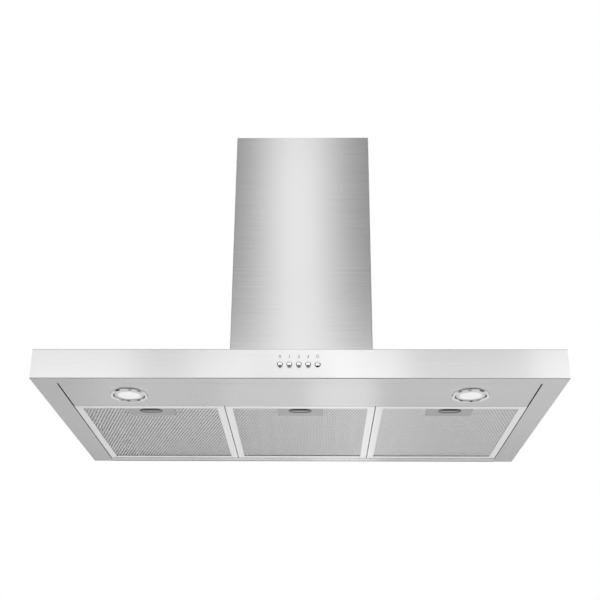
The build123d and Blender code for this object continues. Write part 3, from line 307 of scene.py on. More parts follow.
@dataclass(frozen=True)
class PlainMetal(Surface):
    """Metal without a grain, from mill-finished aluminium to plated steel, clouded by handling."""

    light: str
    dark: str
    roughness: float
    # The clouds change the roughness by this share of it, either way.
    unevenness: float = 0.15
    cloud_mm: float = 9.0
    relief: float = 0.05
    depth_mm: float = 0.1

    def sockets(self, tree: Tree) -> dict:
        """Draws the pattern.

        Args:
            tree: the material's node tree.

        Returns:
            The shader's inputs.
        """
        coords = add_node(tree, "TexCoord").outputs["Object"]
        cloud = add_node(tree, "TexNoise", sized(coords, self.cloud_mm, detail=3.0))
        relief = {"Height": cloud, "Strength": self.relief, "Distance": self.depth_mm * MM}
        tone = add_node(tree, "MapRange", span(cloud, *NOISE))
        least, most = self.roughness * (1 - self.unevenness), self.roughness * (1 + self.unevenness)
        return {
            "Base Color": add_node(tree, "Mix", shades(tone, self.dark, self.light), data_type="RGBA"),
            "Metallic": 1.0,
            "Roughness": add_node(tree, "MapRange", span(cloud, *NOISE, least, most)),
            "Normal": add_node(tree, "Bump", relief),
        }


@dataclass(frozen=True)
class GalvanisedSheet(Surface):
    """Hot-dip galvanised steel: the zinc froze in crystals, each with its own shade and gloss."""

    name: str = "galvanised_sheet"
    light: str = "#C3C8CA"
    dark: str = "#9BA1A5"
    roughness: tuple[float, float] = (0.34, 0.52)
    crystal_mm: float = 11.0
    # The crystals' borders wander this far, over waves of about a crystal's size.
    wander_mm: float = 4.0
    wave_mm: float = 11.1

    def sockets(self, tree: Tree) -> dict:
        """Draws the pattern.

        Args:
            tree: the material's node tree.

        Returns:
            The shader's inputs.
        """
        coords = add_node(tree, "TexCoord").outputs["Object"]
        waves = add_node(tree, "TexNoise", sized(coords, self.wave_mm, detail=2.0))
        wander = {0: waves.outputs["Color"], 1: (self.wander_mm * MM,) * 3, 2: coords}
        moved = add_node(tree, "VectorMath", wander, operation="MULTIPLY_ADD")
        crystals = add_node(tree, "TexVoronoi", sized(moved, self.crystal_mm, detail=0.0))
        shade = add_node(tree, "SeparateXYZ", {0: crystals.outputs["Color"]}).outputs
        return {
            "Base Color": add_node(tree, "Mix", shades(shade["X"], self.dark, self.light), data_type="RGBA"),
            "Metallic": 1.0,
            "Roughness": add_node(tree, "MapRange", span(shade["Y"], 0.0, 1.0, *self.roughness)),
        }


@dataclass(frozen=True)
class MouldedPlastic(Surface):
    """Injection-moulded plastic from a spark-eroded tool, whose fine pits break up the gloss."""

    colour: str
    worn: str
    roughness: float = 0.45
    unevenness: float = 0.06
    # The pits are 0.1 mm apart on the real tool. They are drawn at 0.8 mm to show.
    pit_mm: float = 0.8
    # The melt's flow leaves faint clouds of this size.
    flow_mm: float = 22.2
    tones: tuple[float, float] = (0.35, 0.65)
    relief: float = 0.25
    depth_mm: float = 0.06
    ior: float = 1.52
    # Painted shade over part of the moulding, if it has one.
    painted_shade: Optional[PaintedShade] = None

    def sockets(self, tree: Tree) -> dict:
        """Draws the pattern.

        Args:
            tree: the material's node tree.

        Returns:
            The shader's inputs.
        """
        coords = add_node(tree, "TexCoord").outputs["Object"]
        pits = add_node(tree, "TexNoise", sized(coords, self.pit_mm, detail=2.0))
        flow = add_node(tree, "TexNoise", sized(coords, self.flow_mm, detail=1.0))
        relief = {"Height": pits, "Strength": self.relief, "Distance": self.depth_mm * MM}
        tone = add_node(tree, "MapRange", span(flow, *self.tones))
        colour = add_node(tree, "Mix", shades(tone, self.colour, self.worn), data_type="RGBA")
        if self.painted_shade:
            colour, _ = self.painted_shade.lay_over(tree, coords, colour)
        least, most = self.roughness - self.unevenness, self.roughness + self.unevenness
        return {
            "Base Color": colour,
            "Roughness": add_node(tree, "MapRange", span(pits, *NOISE, least, most)),
            "IOR": self.ior,
            "Normal": add_node(tree, "Bump", relief),
        }


@dataclass(frozen=True)
class FrostedLens(Surface):
    """Frosted polycarbonate lens of a lit lamp. It glows white, less at its rim and over each chip."""

    name: str = "polycarbonate_lens_lit"
    colour: str = "#C9C9C7"
    glow: float = 0.27
    ior: float = 1.58
    roughness: tuple[float, float] = (0.3, 0.45)
    radius_mm: float = 20.5
    # From this share of the radius on, the glow falls to this share of itself.
    rim_start: float = 0.8
    rim_glow: float = 0.6
    chips: int = 3
    chip_circle_mm: float = 9.0
    chip_mm: float = 2.0
    chip_glow: float = 0.86
    # The dimming lasts from the first to the second of these shares of a chip's size.
    chip_fade: tuple[float, float] = (0.3, 1.3)
    frost_mm: float = 1.11

    def sockets(self, tree: Tree) -> dict:
        """Draws the pattern.

        Args:
            tree: the material's node tree.

        Returns:
            The shader's inputs.
        """
        coords = add_node(tree, "TexCoord").outputs["Object"]
        level = add_node(tree, "VectorMath", {0: coords, 1: (1.0, 1.0, 0.0)}, operation="MULTIPLY")
        reach = add_node(tree, "VectorMath", {0: level}, operation="LENGTH")
        edge = self.radius_mm * MM
        rim = span(reach, self.rim_start * edge, edge, self.glow, self.rim_glow * self.glow)
        glow = add_node(tree, "MapRange", rim)
        circle = self.chip_circle_mm * MM
        near, far = (share * self.chip_mm * MM for share in self.chip_fade)
        for number in range(self.chips):
            turn = math.radians(90 + 360 / self.chips * number)
            spot = (circle * math.cos(turn), circle * math.sin(turn), 0.0)
            away = add_node(tree, "VectorMath", {0: level, 1: spot}, operation="DISTANCE")
            dimmed = add_node(tree, "MapRange", span(away, near, far, self.chip_glow, 1.0))
            glow = add_node(tree, "Math", {0: glow, 1: dimmed}, operation="MULTIPLY")
        frost = add_node(tree, "TexNoise", sized(coords, self.frost_mm, detail=2.0))
        return {
            "Base Color": linear(self.colour),
            "Roughness": add_node(tree, "MapRange", span(frost, *NOISE, *self.roughness)),
            "IOR": self.ior,
            "Emission Color": linear("#FFFFFF"),
            "Emission Strength": glow,
        }


@dataclass(frozen=True)
class FloorPaint(Surface):
    """Matt white floor paint, a little clouded by the roller."""

    name: str = "studio_floor_paint"
    dark: str = "#FAFAFA"
    light: str = "#FDFDFD"
    roughness: float = 0.9
    gloss: float = 0.1
    cloud_mm: float = 1430.0

    def sockets(self, tree: Tree) -> dict:
        """Draws the pattern.

        Args:
            tree: the material's node tree.

        Returns:
            The shader's inputs.
        """
        coords = add_node(tree, "TexCoord").outputs["Object"]
        cloud = add_node(tree, "TexNoise", sized(coords, self.cloud_mm, detail=2.0))
        return {
            "Base Color": add_node(tree, "Mix", shades(cloud, self.dark, self.light), data_type="RGBA"),
            "Roughness": self.roughness,
            "Specular IOR Level": self.gloss,
        }


@dataclass(frozen=True)
class CardPaper(Surface):
    """Paper of a card. It has its own tone whatever lights it, so the steel mirrors it evenly."""

    shader: ClassVar[str] = "Emission"
    grey: str

    def sockets(self, tree: Tree) -> dict:
        """Returns the shader's inputs, which are plain."""
        return {"Color": linear(self.grey), "Strength": 1.0}


class Finish(Enum):
    """The finishes of the hood, one for each kind of real surface, and the floor's."""

    # Brushed stainless sheet: fine lines along it, and each lamp drawn out to a soft streak across them.
    STAINLESS = BrushedSteel("stainless_brushed", "#C8C8C8", "#BEBEBE")
    # The lamp panel is the same sheet, painted a shade brighter where it faces down, as painted light.
    PANEL_STEEL = BrushedSteel("stainless_lamp_panel", "#C9C9C9", "#BFBFBF")
    # The rear lip is brighter still. Along the wall, a band of painted shade darkens it.
    LIP_STEEL = BrushedSteel(
        "stainless_rear_lip",
        "#DADADA",
        "#D0D0D0",
        # Painted shade: the last 5.5 mm before the wall are darker.
        painted_shade=PaintedShade(Axis.BACK, -5.5, colour="#7A7A7A", metallic=1.0),
    )
    # Narrow rails with a duller brushing: pale, and softer in their reflections than the canopy.
    FRAME_STEEL = BrushedSteel("stainless_filter_frame", "#F0F0F0", "#E8E8E8", roughness=0.33)
    # Pressed tray with a dull surface. Painted shade blackens it inside, round the slot of its slider.
    TRAY_STEEL = BrushedSteel(
        "steel_latch_tray",
        "#B4B4B4",
        "#A9A9A9",
        roughness=0.42,
        anisotropy=0.4,
        # Painted shade: black above 1.15 mm, inside the tray.
        painted_shade=PaintedShade(Axis.UP, 1.15),
    )
    # Hot-dip galvanised sheet: cool grey crystals that glint one by one.
    GALVANISED = GalvanisedSheet()
    # Expanded aluminium foil: pale strands with a soft sheen.
    EXPANDED_ALUMINIUM = PlainMetal("aluminium_expanded_mesh", "#E0E0E0", "#D6D6D6", 0.36, cloud_mm=14.0)
    # The inner layers' foil is duller, and painted darker as painted shade, so that the cells look deep.
    SHADED_INNER_ALUMINIUM = PlainMetal("aluminium_inner_painted_shade", "#BABABA", "#B0B0B0", 0.5, cloud_mm=14.0)
    # Die-cast aluminium: matt, with a wide highlight.
    CAST_ALUMINIUM = PlainMetal("aluminium_die_cast_lamp", "#DCDCDC", "#D0D0D0", 0.4)
    # Bright chrome plating: a mirror that shows the white room and the dark cards.
    CHROME = PlainMetal("chrome_plated", "#E9E9EA", "#DFDFE0", 0.07, cloud_mm=5.0, relief=0.01)
    # Satin chrome plating: the same tone, with its reflections blurred.
    SATIN_CHROME = PlainMetal("chrome_satin", "#D8D8D8", "#CDCDCD", 0.22, cloud_mm=7.0, relief=0.01)
    # Zinc plating: pale blue-grey, in small clouds.
    ZINC = PlainMetal("zinc_plated_screw", "#C2C4C5", "#A9ABAC", 0.33, cloud_mm=3.0)
    # Hardened strip: a darker blue-grey from its heat treatment.
    SPRING = PlainMetal("spring_steel_blue_grey", "#9C9DA0", "#87898C", 0.3, cloud_mm=4.0)
    # Ground steel: smooth and bright, with a narrow highlight.
    GROUND = PlainMetal("ground_steel_shaft", "#C4C4C5", "#B4B4B5", 0.18, cloud_mm=2.0)
    # Moulded ABS: a satin surface, without the sparkle of metal.
    BLACK = MouldedPlastic("abs_moulded_black", "#1B1B1C", "#232324")
    GREY = MouldedPlastic("abs_moulded_grey", "#7C7E80", "#86888A")
    WHITE = MouldedPlastic("abs_moulded_white", "#DEDEDA", "#D4D4CF")
    # Acetal: waxy grey. The slider's front part, in the dark slot, is painted black as painted shade.
    SLIDER = MouldedPlastic(
        "acetal_latch_slider",
        "#8C8D8E",
        "#949596",
        # Painted shade: black in front of y = -344 mm.
        painted_shade=PaintedShade(Axis.BACK, -344.0, onward=False, colour="#0C0C0D"),
    )
    # White solder mask on glass fibre: smoother than moulded plastic, so it throws the light down.
    BOARD = MouldedPlastic("fr4_board_white_mask", "#E8E8E2", "#DFDFD8", roughness=0.35)
    # Dipped enamel: a dark, slightly glossy coat.
    MOTOR_PAINT = MouldedPlastic("motor_enamel_dark", "#36393C", "#3F4246", roughness=0.4)
    # Screen-printed ink: flat and matt, so the legends don't shine with the steel.
    PRINT = MouldedPlastic("screen_print_grey", "#66676A", "#707173", roughness=0.6)
    # Frosted polycarbonate with the light on behind it: white, dimmer at the rim.
    LENS = FrostedLens()
    # Rolled floor paint: an even white that takes the soft shadow.
    FLOOR = FloorPaint()

    def material(self) -> bpy.types.Material:
        """Returns the finish's material, made at its first use."""
        return self.value.material()


class Place(Enum):
    """Where a filter, latch or lamp is, seen from the front."""

    LEFT = "left"
    CENTRE = "centre"
    RIGHT = "right"


class Button(Enum):
    """The push buttons from left to right, each with its CAD node and the digit over it, if it has one."""

    OFF = ("button_off", "0")
    SPEED_1 = ("button_speed_1", "1")
    SPEED_2 = ("button_speed_2", "2")
    SPEED_3 = ("button_speed_3", "3")
    LIGHT = ("button_light", "")

    @property
    def node(self) -> str:
        """Returns the CAD node's name."""
        return self.value[0]

    @property
    def digit(self) -> str:
        """Returns the digit, or nothing where the lamp sign is."""
        return self.value[1]


def dress(finish: Finish, *nodes: str) -> None:
    """Gives CAD nodes their finish.

    Args:
        finish: finish for all of them.
        nodes: the CAD nodes' names.
    """
    for node in nodes:
        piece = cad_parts[node]
        if not piece.material_slots:
            piece.data.materials.append(finish.material())
        for held in piece.material_slots:
            held.material = finish.material()
        LOG.info("dressed %s in %s", node, finish.value.name)


def new_mesh(
    name: str,
    shape: Shape,
    finish: Union[Finish, CardPaper],
    smooth: bool = True,
    second: Optional[tuple[Finish, Iterable[int]]] = None,
) -> bpy.types.Mesh:
    """Makes a mesh.

    Args:
        name: mesh name.
        shape: its points and faces.
        finish: finish of all its faces.
        smooth: rounds the shading where faces meet at a small angle.
        second: another finish and the faces that have it.

    Returns:
        The mesh.
    """
    points, faces = shape
    mesh = bpy.data.meshes.new(name)
    mesh.from_pydata([tuple(point) for point in points], [], [tuple(face) for face in faces])
    mesh.materials.append(finish.material())
    if second:
        mesh.materials.append(second[0].material())
        for number in second[1]:
            mesh.polygons[number].material_index = 1
    if smooth:
        mesh.polygons.foreach_set("use_smooth", [True] * len(mesh.polygons))
        mesh.set_sharp_from_angle(angle=SMOOTH_BELOW)
    return mesh


def new_piece(name: str, mesh: bpy.types.Mesh, place: Sequence[float] = (0.0, 0.0, 0.0)) -> bpy.types.Object:
    """Makes an object of a mesh.

    Args:
        name: object name.
        mesh: its mesh.
        place: the object's origin.

    Returns:
        The object.
    """
    piece = bpy.data.objects.new(name, mesh)
    piece.location = place
    bpy.context.scene.collection.objects.link(piece)
    LOG.info("made %s", name)
    return piece


def rounded(outline: Sequence[Point], steps: int = 5) -> Line:
    """Rounds the corners of a line.

    Args:
        outline: each corner's two coordinates and the radius that rounds it.
        steps: parts of each rounding.

    Returns:
        The line's points.
    """
    line: Line = []
    for number, (across, up, radius) in enumerate(outline):
        if radius <= 0 or number in (0, len(outline) - 1):
            line.append((across, up))
            continue
        corner = Vector((across, up))
        before = (Vector(outline[number - 1][:2]) - corner).normalized()
        after = (Vector(outline[number + 1][:2]) - corner).normalized()
        back = radius / math.tan(before.angle(after) / 2)
        start, end = corner + before * back, corner + after * back
        for step in range(steps + 1):
            share = step / steps
            line.append(tuple(start * (1 - share) ** 2 + corner * 2 * share * (1 - share) + end * share**2))
    return line


def lathe(line: Line, sides: int, closed: bool = False) -> Shape:
    """Turns a line about the z axis.

    Args:
        line: points as radius and height. A radius of zero makes a pole.
        sides: parts of the full turn.
        closed: joins the line's last point to its first, as in a ring.

    Returns:
        Points and faces.
    """
    points: list[Point] = []
    rows: Faces = []
    for radius, height in line:
        if radius < HAIR:
            rows.append([len(points)] * sides)
            points.append((0.0, 0.0, height))
            continue
        rows.append(list(range(len(points), len(points) + sides)))
        for number in range(sides):
            turn = 2 * math.pi * number / sides
            points.append((radius * math.cos(turn), radius * math.sin(turn), height))
    faces: Faces = []
    pairs = list(zip(rows, rows[1:])) + ([(rows[-1], rows[0])] if closed else [])
    for first, second in pairs:
        for number in range(sides):
            following = (number + 1) % sides
            corners = dict.fromkeys([first[number], first[following], second[following], second[number]])
            if len(corners) > 2:
                faces.append(list(corners))
    return points, faces


def bar_faces(sections: int, first: int = 0) -> Faces:
    """Covers a bar that runs through four-cornered sections.

    Args:
        sections: number of sections, whose corners follow each other.
        first: number of the first section's first corner.

    Returns:
        The faces, those of the two ends last.
    """
    last = first + 4 * (sections - 1)
    faces: Faces = []
    for start in range(first, last, 4):
        for side in range(4):
            following = (side + 1) % 4
            faces.append([start + side, start + following, start + 4 + following, start + 4 + side])
    return faces + [[first + 3, first + 2, first + 1, first], [last, last + 1, last + 2, last + 3]]


def block(low: Sequence[float], high: Sequence[float]) -> Shape:
    """Makes a block between two corners.

    Args:
        low: its lowest corner.
        high: its highest corner.

    Returns:
        Points and faces.
    """
    outline = ((low[0], low[1]), (high[0], low[1]), (high[0], high[1]), (low[0], high[1]))
    return [(x, y, z) for z in (low[2], high[2]) for x, y in outline], bar_faces(2)


def joined(*shapes: Shape) -> Shape:
    """Puts several shapes into one.

    Args:
        shapes: points and faces of each.

    Returns:
        Points and faces.
    """
    points: list[Point] = []
    faces: Faces = []
    for more_points, more_faces in shapes:
        start = len(points)
        points.extend(more_points)
        faces.extend([number + start for number in face] for face in more_faces)
    return points, faces


def turned(points: Iterable[Sequence[float]], degrees: float) -> list[Point]:
    """Turns points about the x axis, for pieces that are made lying down and face the front."""
    turn = Matrix.Rotation(math.radians(degrees), 3, "X")
    return [tuple(turn @ Vector(point)) for point in points]


@dataclass(frozen=True)
class SoftLamp:
    """Soft rectangular lamp, which isn't in view itself."""

    name: str
    place: Point
    aim: Point
    size: tuple[float, float]
    watts: float

    def build(self) -> None:
        """Makes the lamp."""
        data = bpy.data.lights.new(self.name, "AREA")
        data.shape = "RECTANGLE"
        data.size, data.size_y = self.size
        data.energy = self.watts
        lamp = bpy.data.objects.new(self.name, data)
        bpy.context.scene.collection.objects.link(lamp)
        lamp.location = self.place
        lamp.rotation_mode = "QUATERNION"
        lamp.rotation_quaternion = (Vector(self.aim) - Vector(self.place)).to_track_quat("-Z", "Y")
        lamp.visible_camera = False


@dataclass(frozen=True)
class GreyCard:
    """Level or upright card, as stands round polished metal in a studio. Only reflections show it."""

    name: str
    corner: Point
    opposite: Point
    grey: str

    def build(self) -> None:
        """Makes the card."""
        (x_first, y_first, z_first), (x_last, y_last, z_last) = self.corner, self.opposite
        if z_first == z_last:
            others = (x_last, y_first, z_first), (x_first, y_last, z_first)
        else:
            others = (x_last, y_last, z_first), (x_first, y_first, z_last)
        points = [self.corner, others[0], self.opposite, others[1]]
        paper = CardPaper(f"{self.name}_paper", self.grey)
        card = new_piece(self.name, new_mesh(self.name, (points, [[0, 1, 2, 3]]), paper, smooth=False))
        card.visible_camera = card.visible_diffuse = card.visible_shadow = False


@dataclass
class Studio:
    """Pale floor, white surroundings, soft lamps and grey cards."""

    floor_level: float = -1.5
    floor_half: float = 30.0
    world_strength: float = 1.0
    # Middle of the bright streak on the chimney's front.
    streak: float = -0.055
    # Lamps before the fascia and at the back below, each as its middle's x, its width and its watts.
    low_lamps: tuple[Point, ...] = (
        (-0.53, 0.84, 0.66),
        (0.5, 0.9, 0.68),
        (-0.54, 0.28, 0.12),
        (-0.19, 0.16, 0.06),
        (-0.03, 0.14, 0.08),
        (0.14, 0.2, 0.11),
        (0.62, 0.16, 0.1),
    )
    rear_lamps: tuple[Point, ...] = ((0.15, 0.3, 0.22), (-0.05, 0.66, 0.24), (0.0, 3.4, 0.6))

    def build(self) -> None:
        """Makes the whole studio."""
        self.make_world()
        self.make_floor()
        for item in self.lamps_and_cards():
            item.build()

    def make_world(self) -> None:
        """Makes surroundings that look plain white, in view and in reflections, and give a soft light."""
        world = bpy.data.worlds.new("studio_surroundings")
        bpy.context.scene.world = world
        world.use_nodes = True
        tree = world.node_tree
        tree.nodes.clear()
        ray = add_node(tree, "LightPath").outputs
        seen = ray["Is Camera Ray"]
        for kind in ("Is Glossy Ray", "Is Transmission Ray"):
            seen = add_node(tree, "Math", {0: seen, 1: ray[kind]}, operation="MAXIMUM")
        soft = add_node(tree, "Background", {"Color": linear("#FFFFFF"), "Strength": self.world_strength})
        white = add_node(tree, "Background", {"Color": linear("#FFFFFF"), "Strength": 1.0})
        both = add_node(tree, "MixShader", {0: seen, 1: soft, 2: white})
        add_node(tree, "OutputWorld", {"Surface": both})

    def make_floor(self) -> None:
        """Makes the floor, a pale level plane that catches the object's soft shadow."""
        half = self.floor_half
        points = [(-half, -half, 0.0), (half, -half, 0.0), (half, half, 0.0), (-half, half, 0.0)]
        mesh = new_mesh("studio_floor", (points, [[0, 1, 2, 3]]), Finish.FLOOR, smooth=False)
        new_piece("studio_floor", mesh, (0.0, 0.0, self.floor_level))

    def lamps_and_cards(self) -> Iterable[Union[SoftLamp, GreyCard]]:
        """Lists the lamps, and the cards that shape the reflections in the steel.

        Returns:
            The lamps and the cards, in the order of their making.
        """
        size, aim = (0.24, 1.4), (self.streak, -0.27, 0.4)
        yield SoftLamp("strip_front", place=(self.streak, -2.5, 1.6), aim=aim, size=size, watts=1.1)
        for sign, side in ((-1, "left"), (1, "right")):
            near, far = self.streak + sign * 0.22, self.streak + sign * 1.6
            yield GreyCard(f"card_front_{side}", (near, -2.6, 0.92), (far, -2.6, 3.6), "#969696")
        for number, (across, width, watts) in enumerate(self.low_lamps):
            place, aim = (across, -1.15, 0.22), (across * 0.7, -0.52, 0.02)
            yield SoftLamp(f"panel_low_{number}", place, aim, size=(width, 0.4), watts=watts)
        yield GreyCard("card_rear", (-2.2, 2.0, -0.1), (2.2, 2.0, -0.575), "#606060")
        for number, (across, width, watts) in enumerate(self.rear_lamps):
            place, aim = (across, 2.0, -0.8), (across * 0.3, -0.4, 0.0)
            yield SoftLamp(f"panel_rear_{number}", place, aim, size=(width, 0.3), watts=watts)
        # Dark cards below and beside draw the line along the fascia's lower fold and shade the chrome.
        yield GreyCard("card_below", (-1.7, -1.8, -0.95), (1.7, -0.62, -0.95), "#181818")
        # A darker card low at the back shades the front left corner of the underside.
        yield GreyCard("card_corner", (-3.2, 2.0, -1.2), (-1.0, 2.0, -1.7), "#404040")
        yield GreyCard("card_below_front", (-0.3, -1.8, -0.95), (0.3, -1.8, -0.5), "#181818")
        # The side cards leave free what the steel mirrors in views from beside.
        for sign, side in ((-1, "left"), (1, "right")):
            yield GreyCard(f"card_{side}", (sign * 1.7, -1.65, -0.65), (sign * 1.7, -0.65, 1.8), "#101010")


@dataclass
class PhotoCamera:
    """The photograph's camera: in front and half a metre below the hood, looking up at it."""

    picture_px: float = 600.0
    focal_px: float = 971.85
    sensor_mm: float = 36.0
    shift_up: float = 0.09
    pitch: float = 0.3751
    yaw: float = 0.0175
    roll: float = 0.0072
    across: float = 0.02847
    before_front: float = 1.51415
    level: float = -0.5525
    seen_from: float = 0.05
    seen_to: float = 200.0

    def build(self) -> None:
        """Makes the camera."""
        data = bpy.data.cameras.new("photo_view")
        data.sensor_width = self.sensor_mm
        data.lens = self.focal_px / self.picture_px * self.sensor_mm
        data.shift_y = self.shift_up
        data.clip_start, data.clip_end = self.seen_from, self.seen_to
        camera = bpy.data.objects.new("photo_view", data)
        bpy.context.scene.collection.objects.link(camera)
        # A camera that isn't turned looks straight down, so it is tipped up by a right angle first.
        tipped = Matrix.Rotation(math.pi / 2 + self.pitch, 4, "X") @ Matrix.Rotation(self.roll, 4, "Z")
        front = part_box("canopy_skin")[0].y
        place = Matrix.Translation((self.across, front - self.before_front, self.level))
        camera.matrix_world = place @ Matrix.Rotation(self.yaw, 4, "Z") @ tipped
        bpy.context.scene.camera = camera


@dataclass
class Canopy:
    """Folded canopy skin, its back panel, the lamp panel and the switch block behind the fascia."""

    def build(self) -> None:
        """Dresses the sheets and the switch block."""
        dress(Finish.STAINLESS, "canopy_skin")
        dress(Finish.LIP_STEEL, "canopy_back_panel")
        dress(Finish.PANEL_STEEL, "lamp_panel")
        dress(Finish.BLACK, "switch_block")
        dress(Finish.GALVANISED, "switch_bracket")


@dataclass
class Legend:
    """What is printed on the fascia over one button: a digit, or a ring with one ray for the lamps."""

    button: Button
    level: float = 39.0 * MM
    ink: float = 0.05 * MM
    digit_height: float = 7.4 * MM
    digit_weight: float = 0.08 * MM
    digit_bends: int = 4
    ring_inner: float = 2.0 * MM
    ring_outer: float = 2.8 * MM
    ring_sides: int = 20
    ring_lift: float = 0.6 * MM
    ray_half: float = 0.25 * MM
    ray_end: float = 3.6 * MM

    def build(self) -> None:
        """Prints the legend."""
        low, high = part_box(self.button.node)
        points, faces = self.digit() if self.button.digit else self.lamp_sign()
        name = f"legend_{self.button.digit or 'lamp'}"
        lift = 0.0 if self.button.digit else self.ring_lift
        place = ((low.x + high.x) / 2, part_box("canopy_skin")[0].y, self.level + lift)
        mesh = new_mesh(name, (turned(points, 90), faces), Finish.PRINT, smooth=False)
        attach(new_piece(name, mesh, place), "hood")

    def digit(self) -> Shape:
        """Draws the digit lying flat.

        Returns:
            Points and faces.
        """
        curve = bpy.data.curves.new("digit", "FONT")
        curve.body = self.button.digit
        curve.size = self.digit_height
        curve.align_x = "CENTER"
        curve.align_y = "CENTER"
        curve.extrude = self.ink / 2
        curve.offset = self.digit_weight
        curve.resolution_u = self.digit_bends
        scratch = bpy.data.objects.new("digit", curve)
        bpy.context.scene.collection.objects.link(scratch)
        bpy.context.view_layer.update()
        mesh = bpy.data.meshes.new_from_object(scratch)
        bpy.data.objects.remove(scratch)
        return [tuple(point.co) for point in mesh.vertices], [list(face.vertices) for face in mesh.polygons]

    def lamp_sign(self) -> Shape:
        """Draws the lamp sign lying flat.

        Returns:
            Points and faces.
        """
        thin, inner, outer = self.ink / 2, self.ring_inner, self.ring_outer
        section = [(inner, -thin), (outer, -thin), (outer, thin), (inner, thin)]
        ray = block((-self.ray_half, outer, -thin), (self.ray_half, self.ray_end, thin))
        return joined(lathe(section, self.ring_sides, closed=True), ray)


@dataclass
class PushButton:
    """Chrome-plated push button with a domed front, a hidden flange and a square stem."""

    button: Button
    sides: int = 40
    radius: float = 4.9 * MM
    # The dome is part of a ball. Its rim stands at this angle to the fascia.
    rim_angle: float = math.radians(46)
    dome_steps: int = 9
    flange_radius: float = 6.2 * MM
    flange_start: float = 6.8 * MM
    flange_end: float = 8.0 * MM
    stem_half: float = 2.2 * MM

    def build(self) -> None:
        """Makes the button in the place of its CAD node."""
        node = self.button.node
        low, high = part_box(node)
        ball = self.radius / math.sin(self.rim_angle)
        line = [(0.0, 0.0)]
        for step in range(1, self.dome_steps + 1):
            angle = step / self.dome_steps * self.rim_angle
            line.append((ball * math.sin(angle), ball * (1 - math.cos(angle))))
        line += [(self.radius, self.flange_start), (self.flange_radius, self.flange_start)]
        line += [(self.flange_radius, self.flange_end), (0.0, self.flange_end)]
        half = self.stem_half
        stem = block((-half, -half, self.flange_end), (half, half, high.y - low.y))
        points, faces = joined(lathe(line, self.sides), stem)
        place = ((low.x + high.x) / 2, low.y, (low.z + high.z) / 2)
        mesh = new_mesh(f"{node}_chrome", (turned(points, -90), faces), Finish.CHROME)
        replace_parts(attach(new_piece(f"{node}_chrome", mesh, place), node), node)


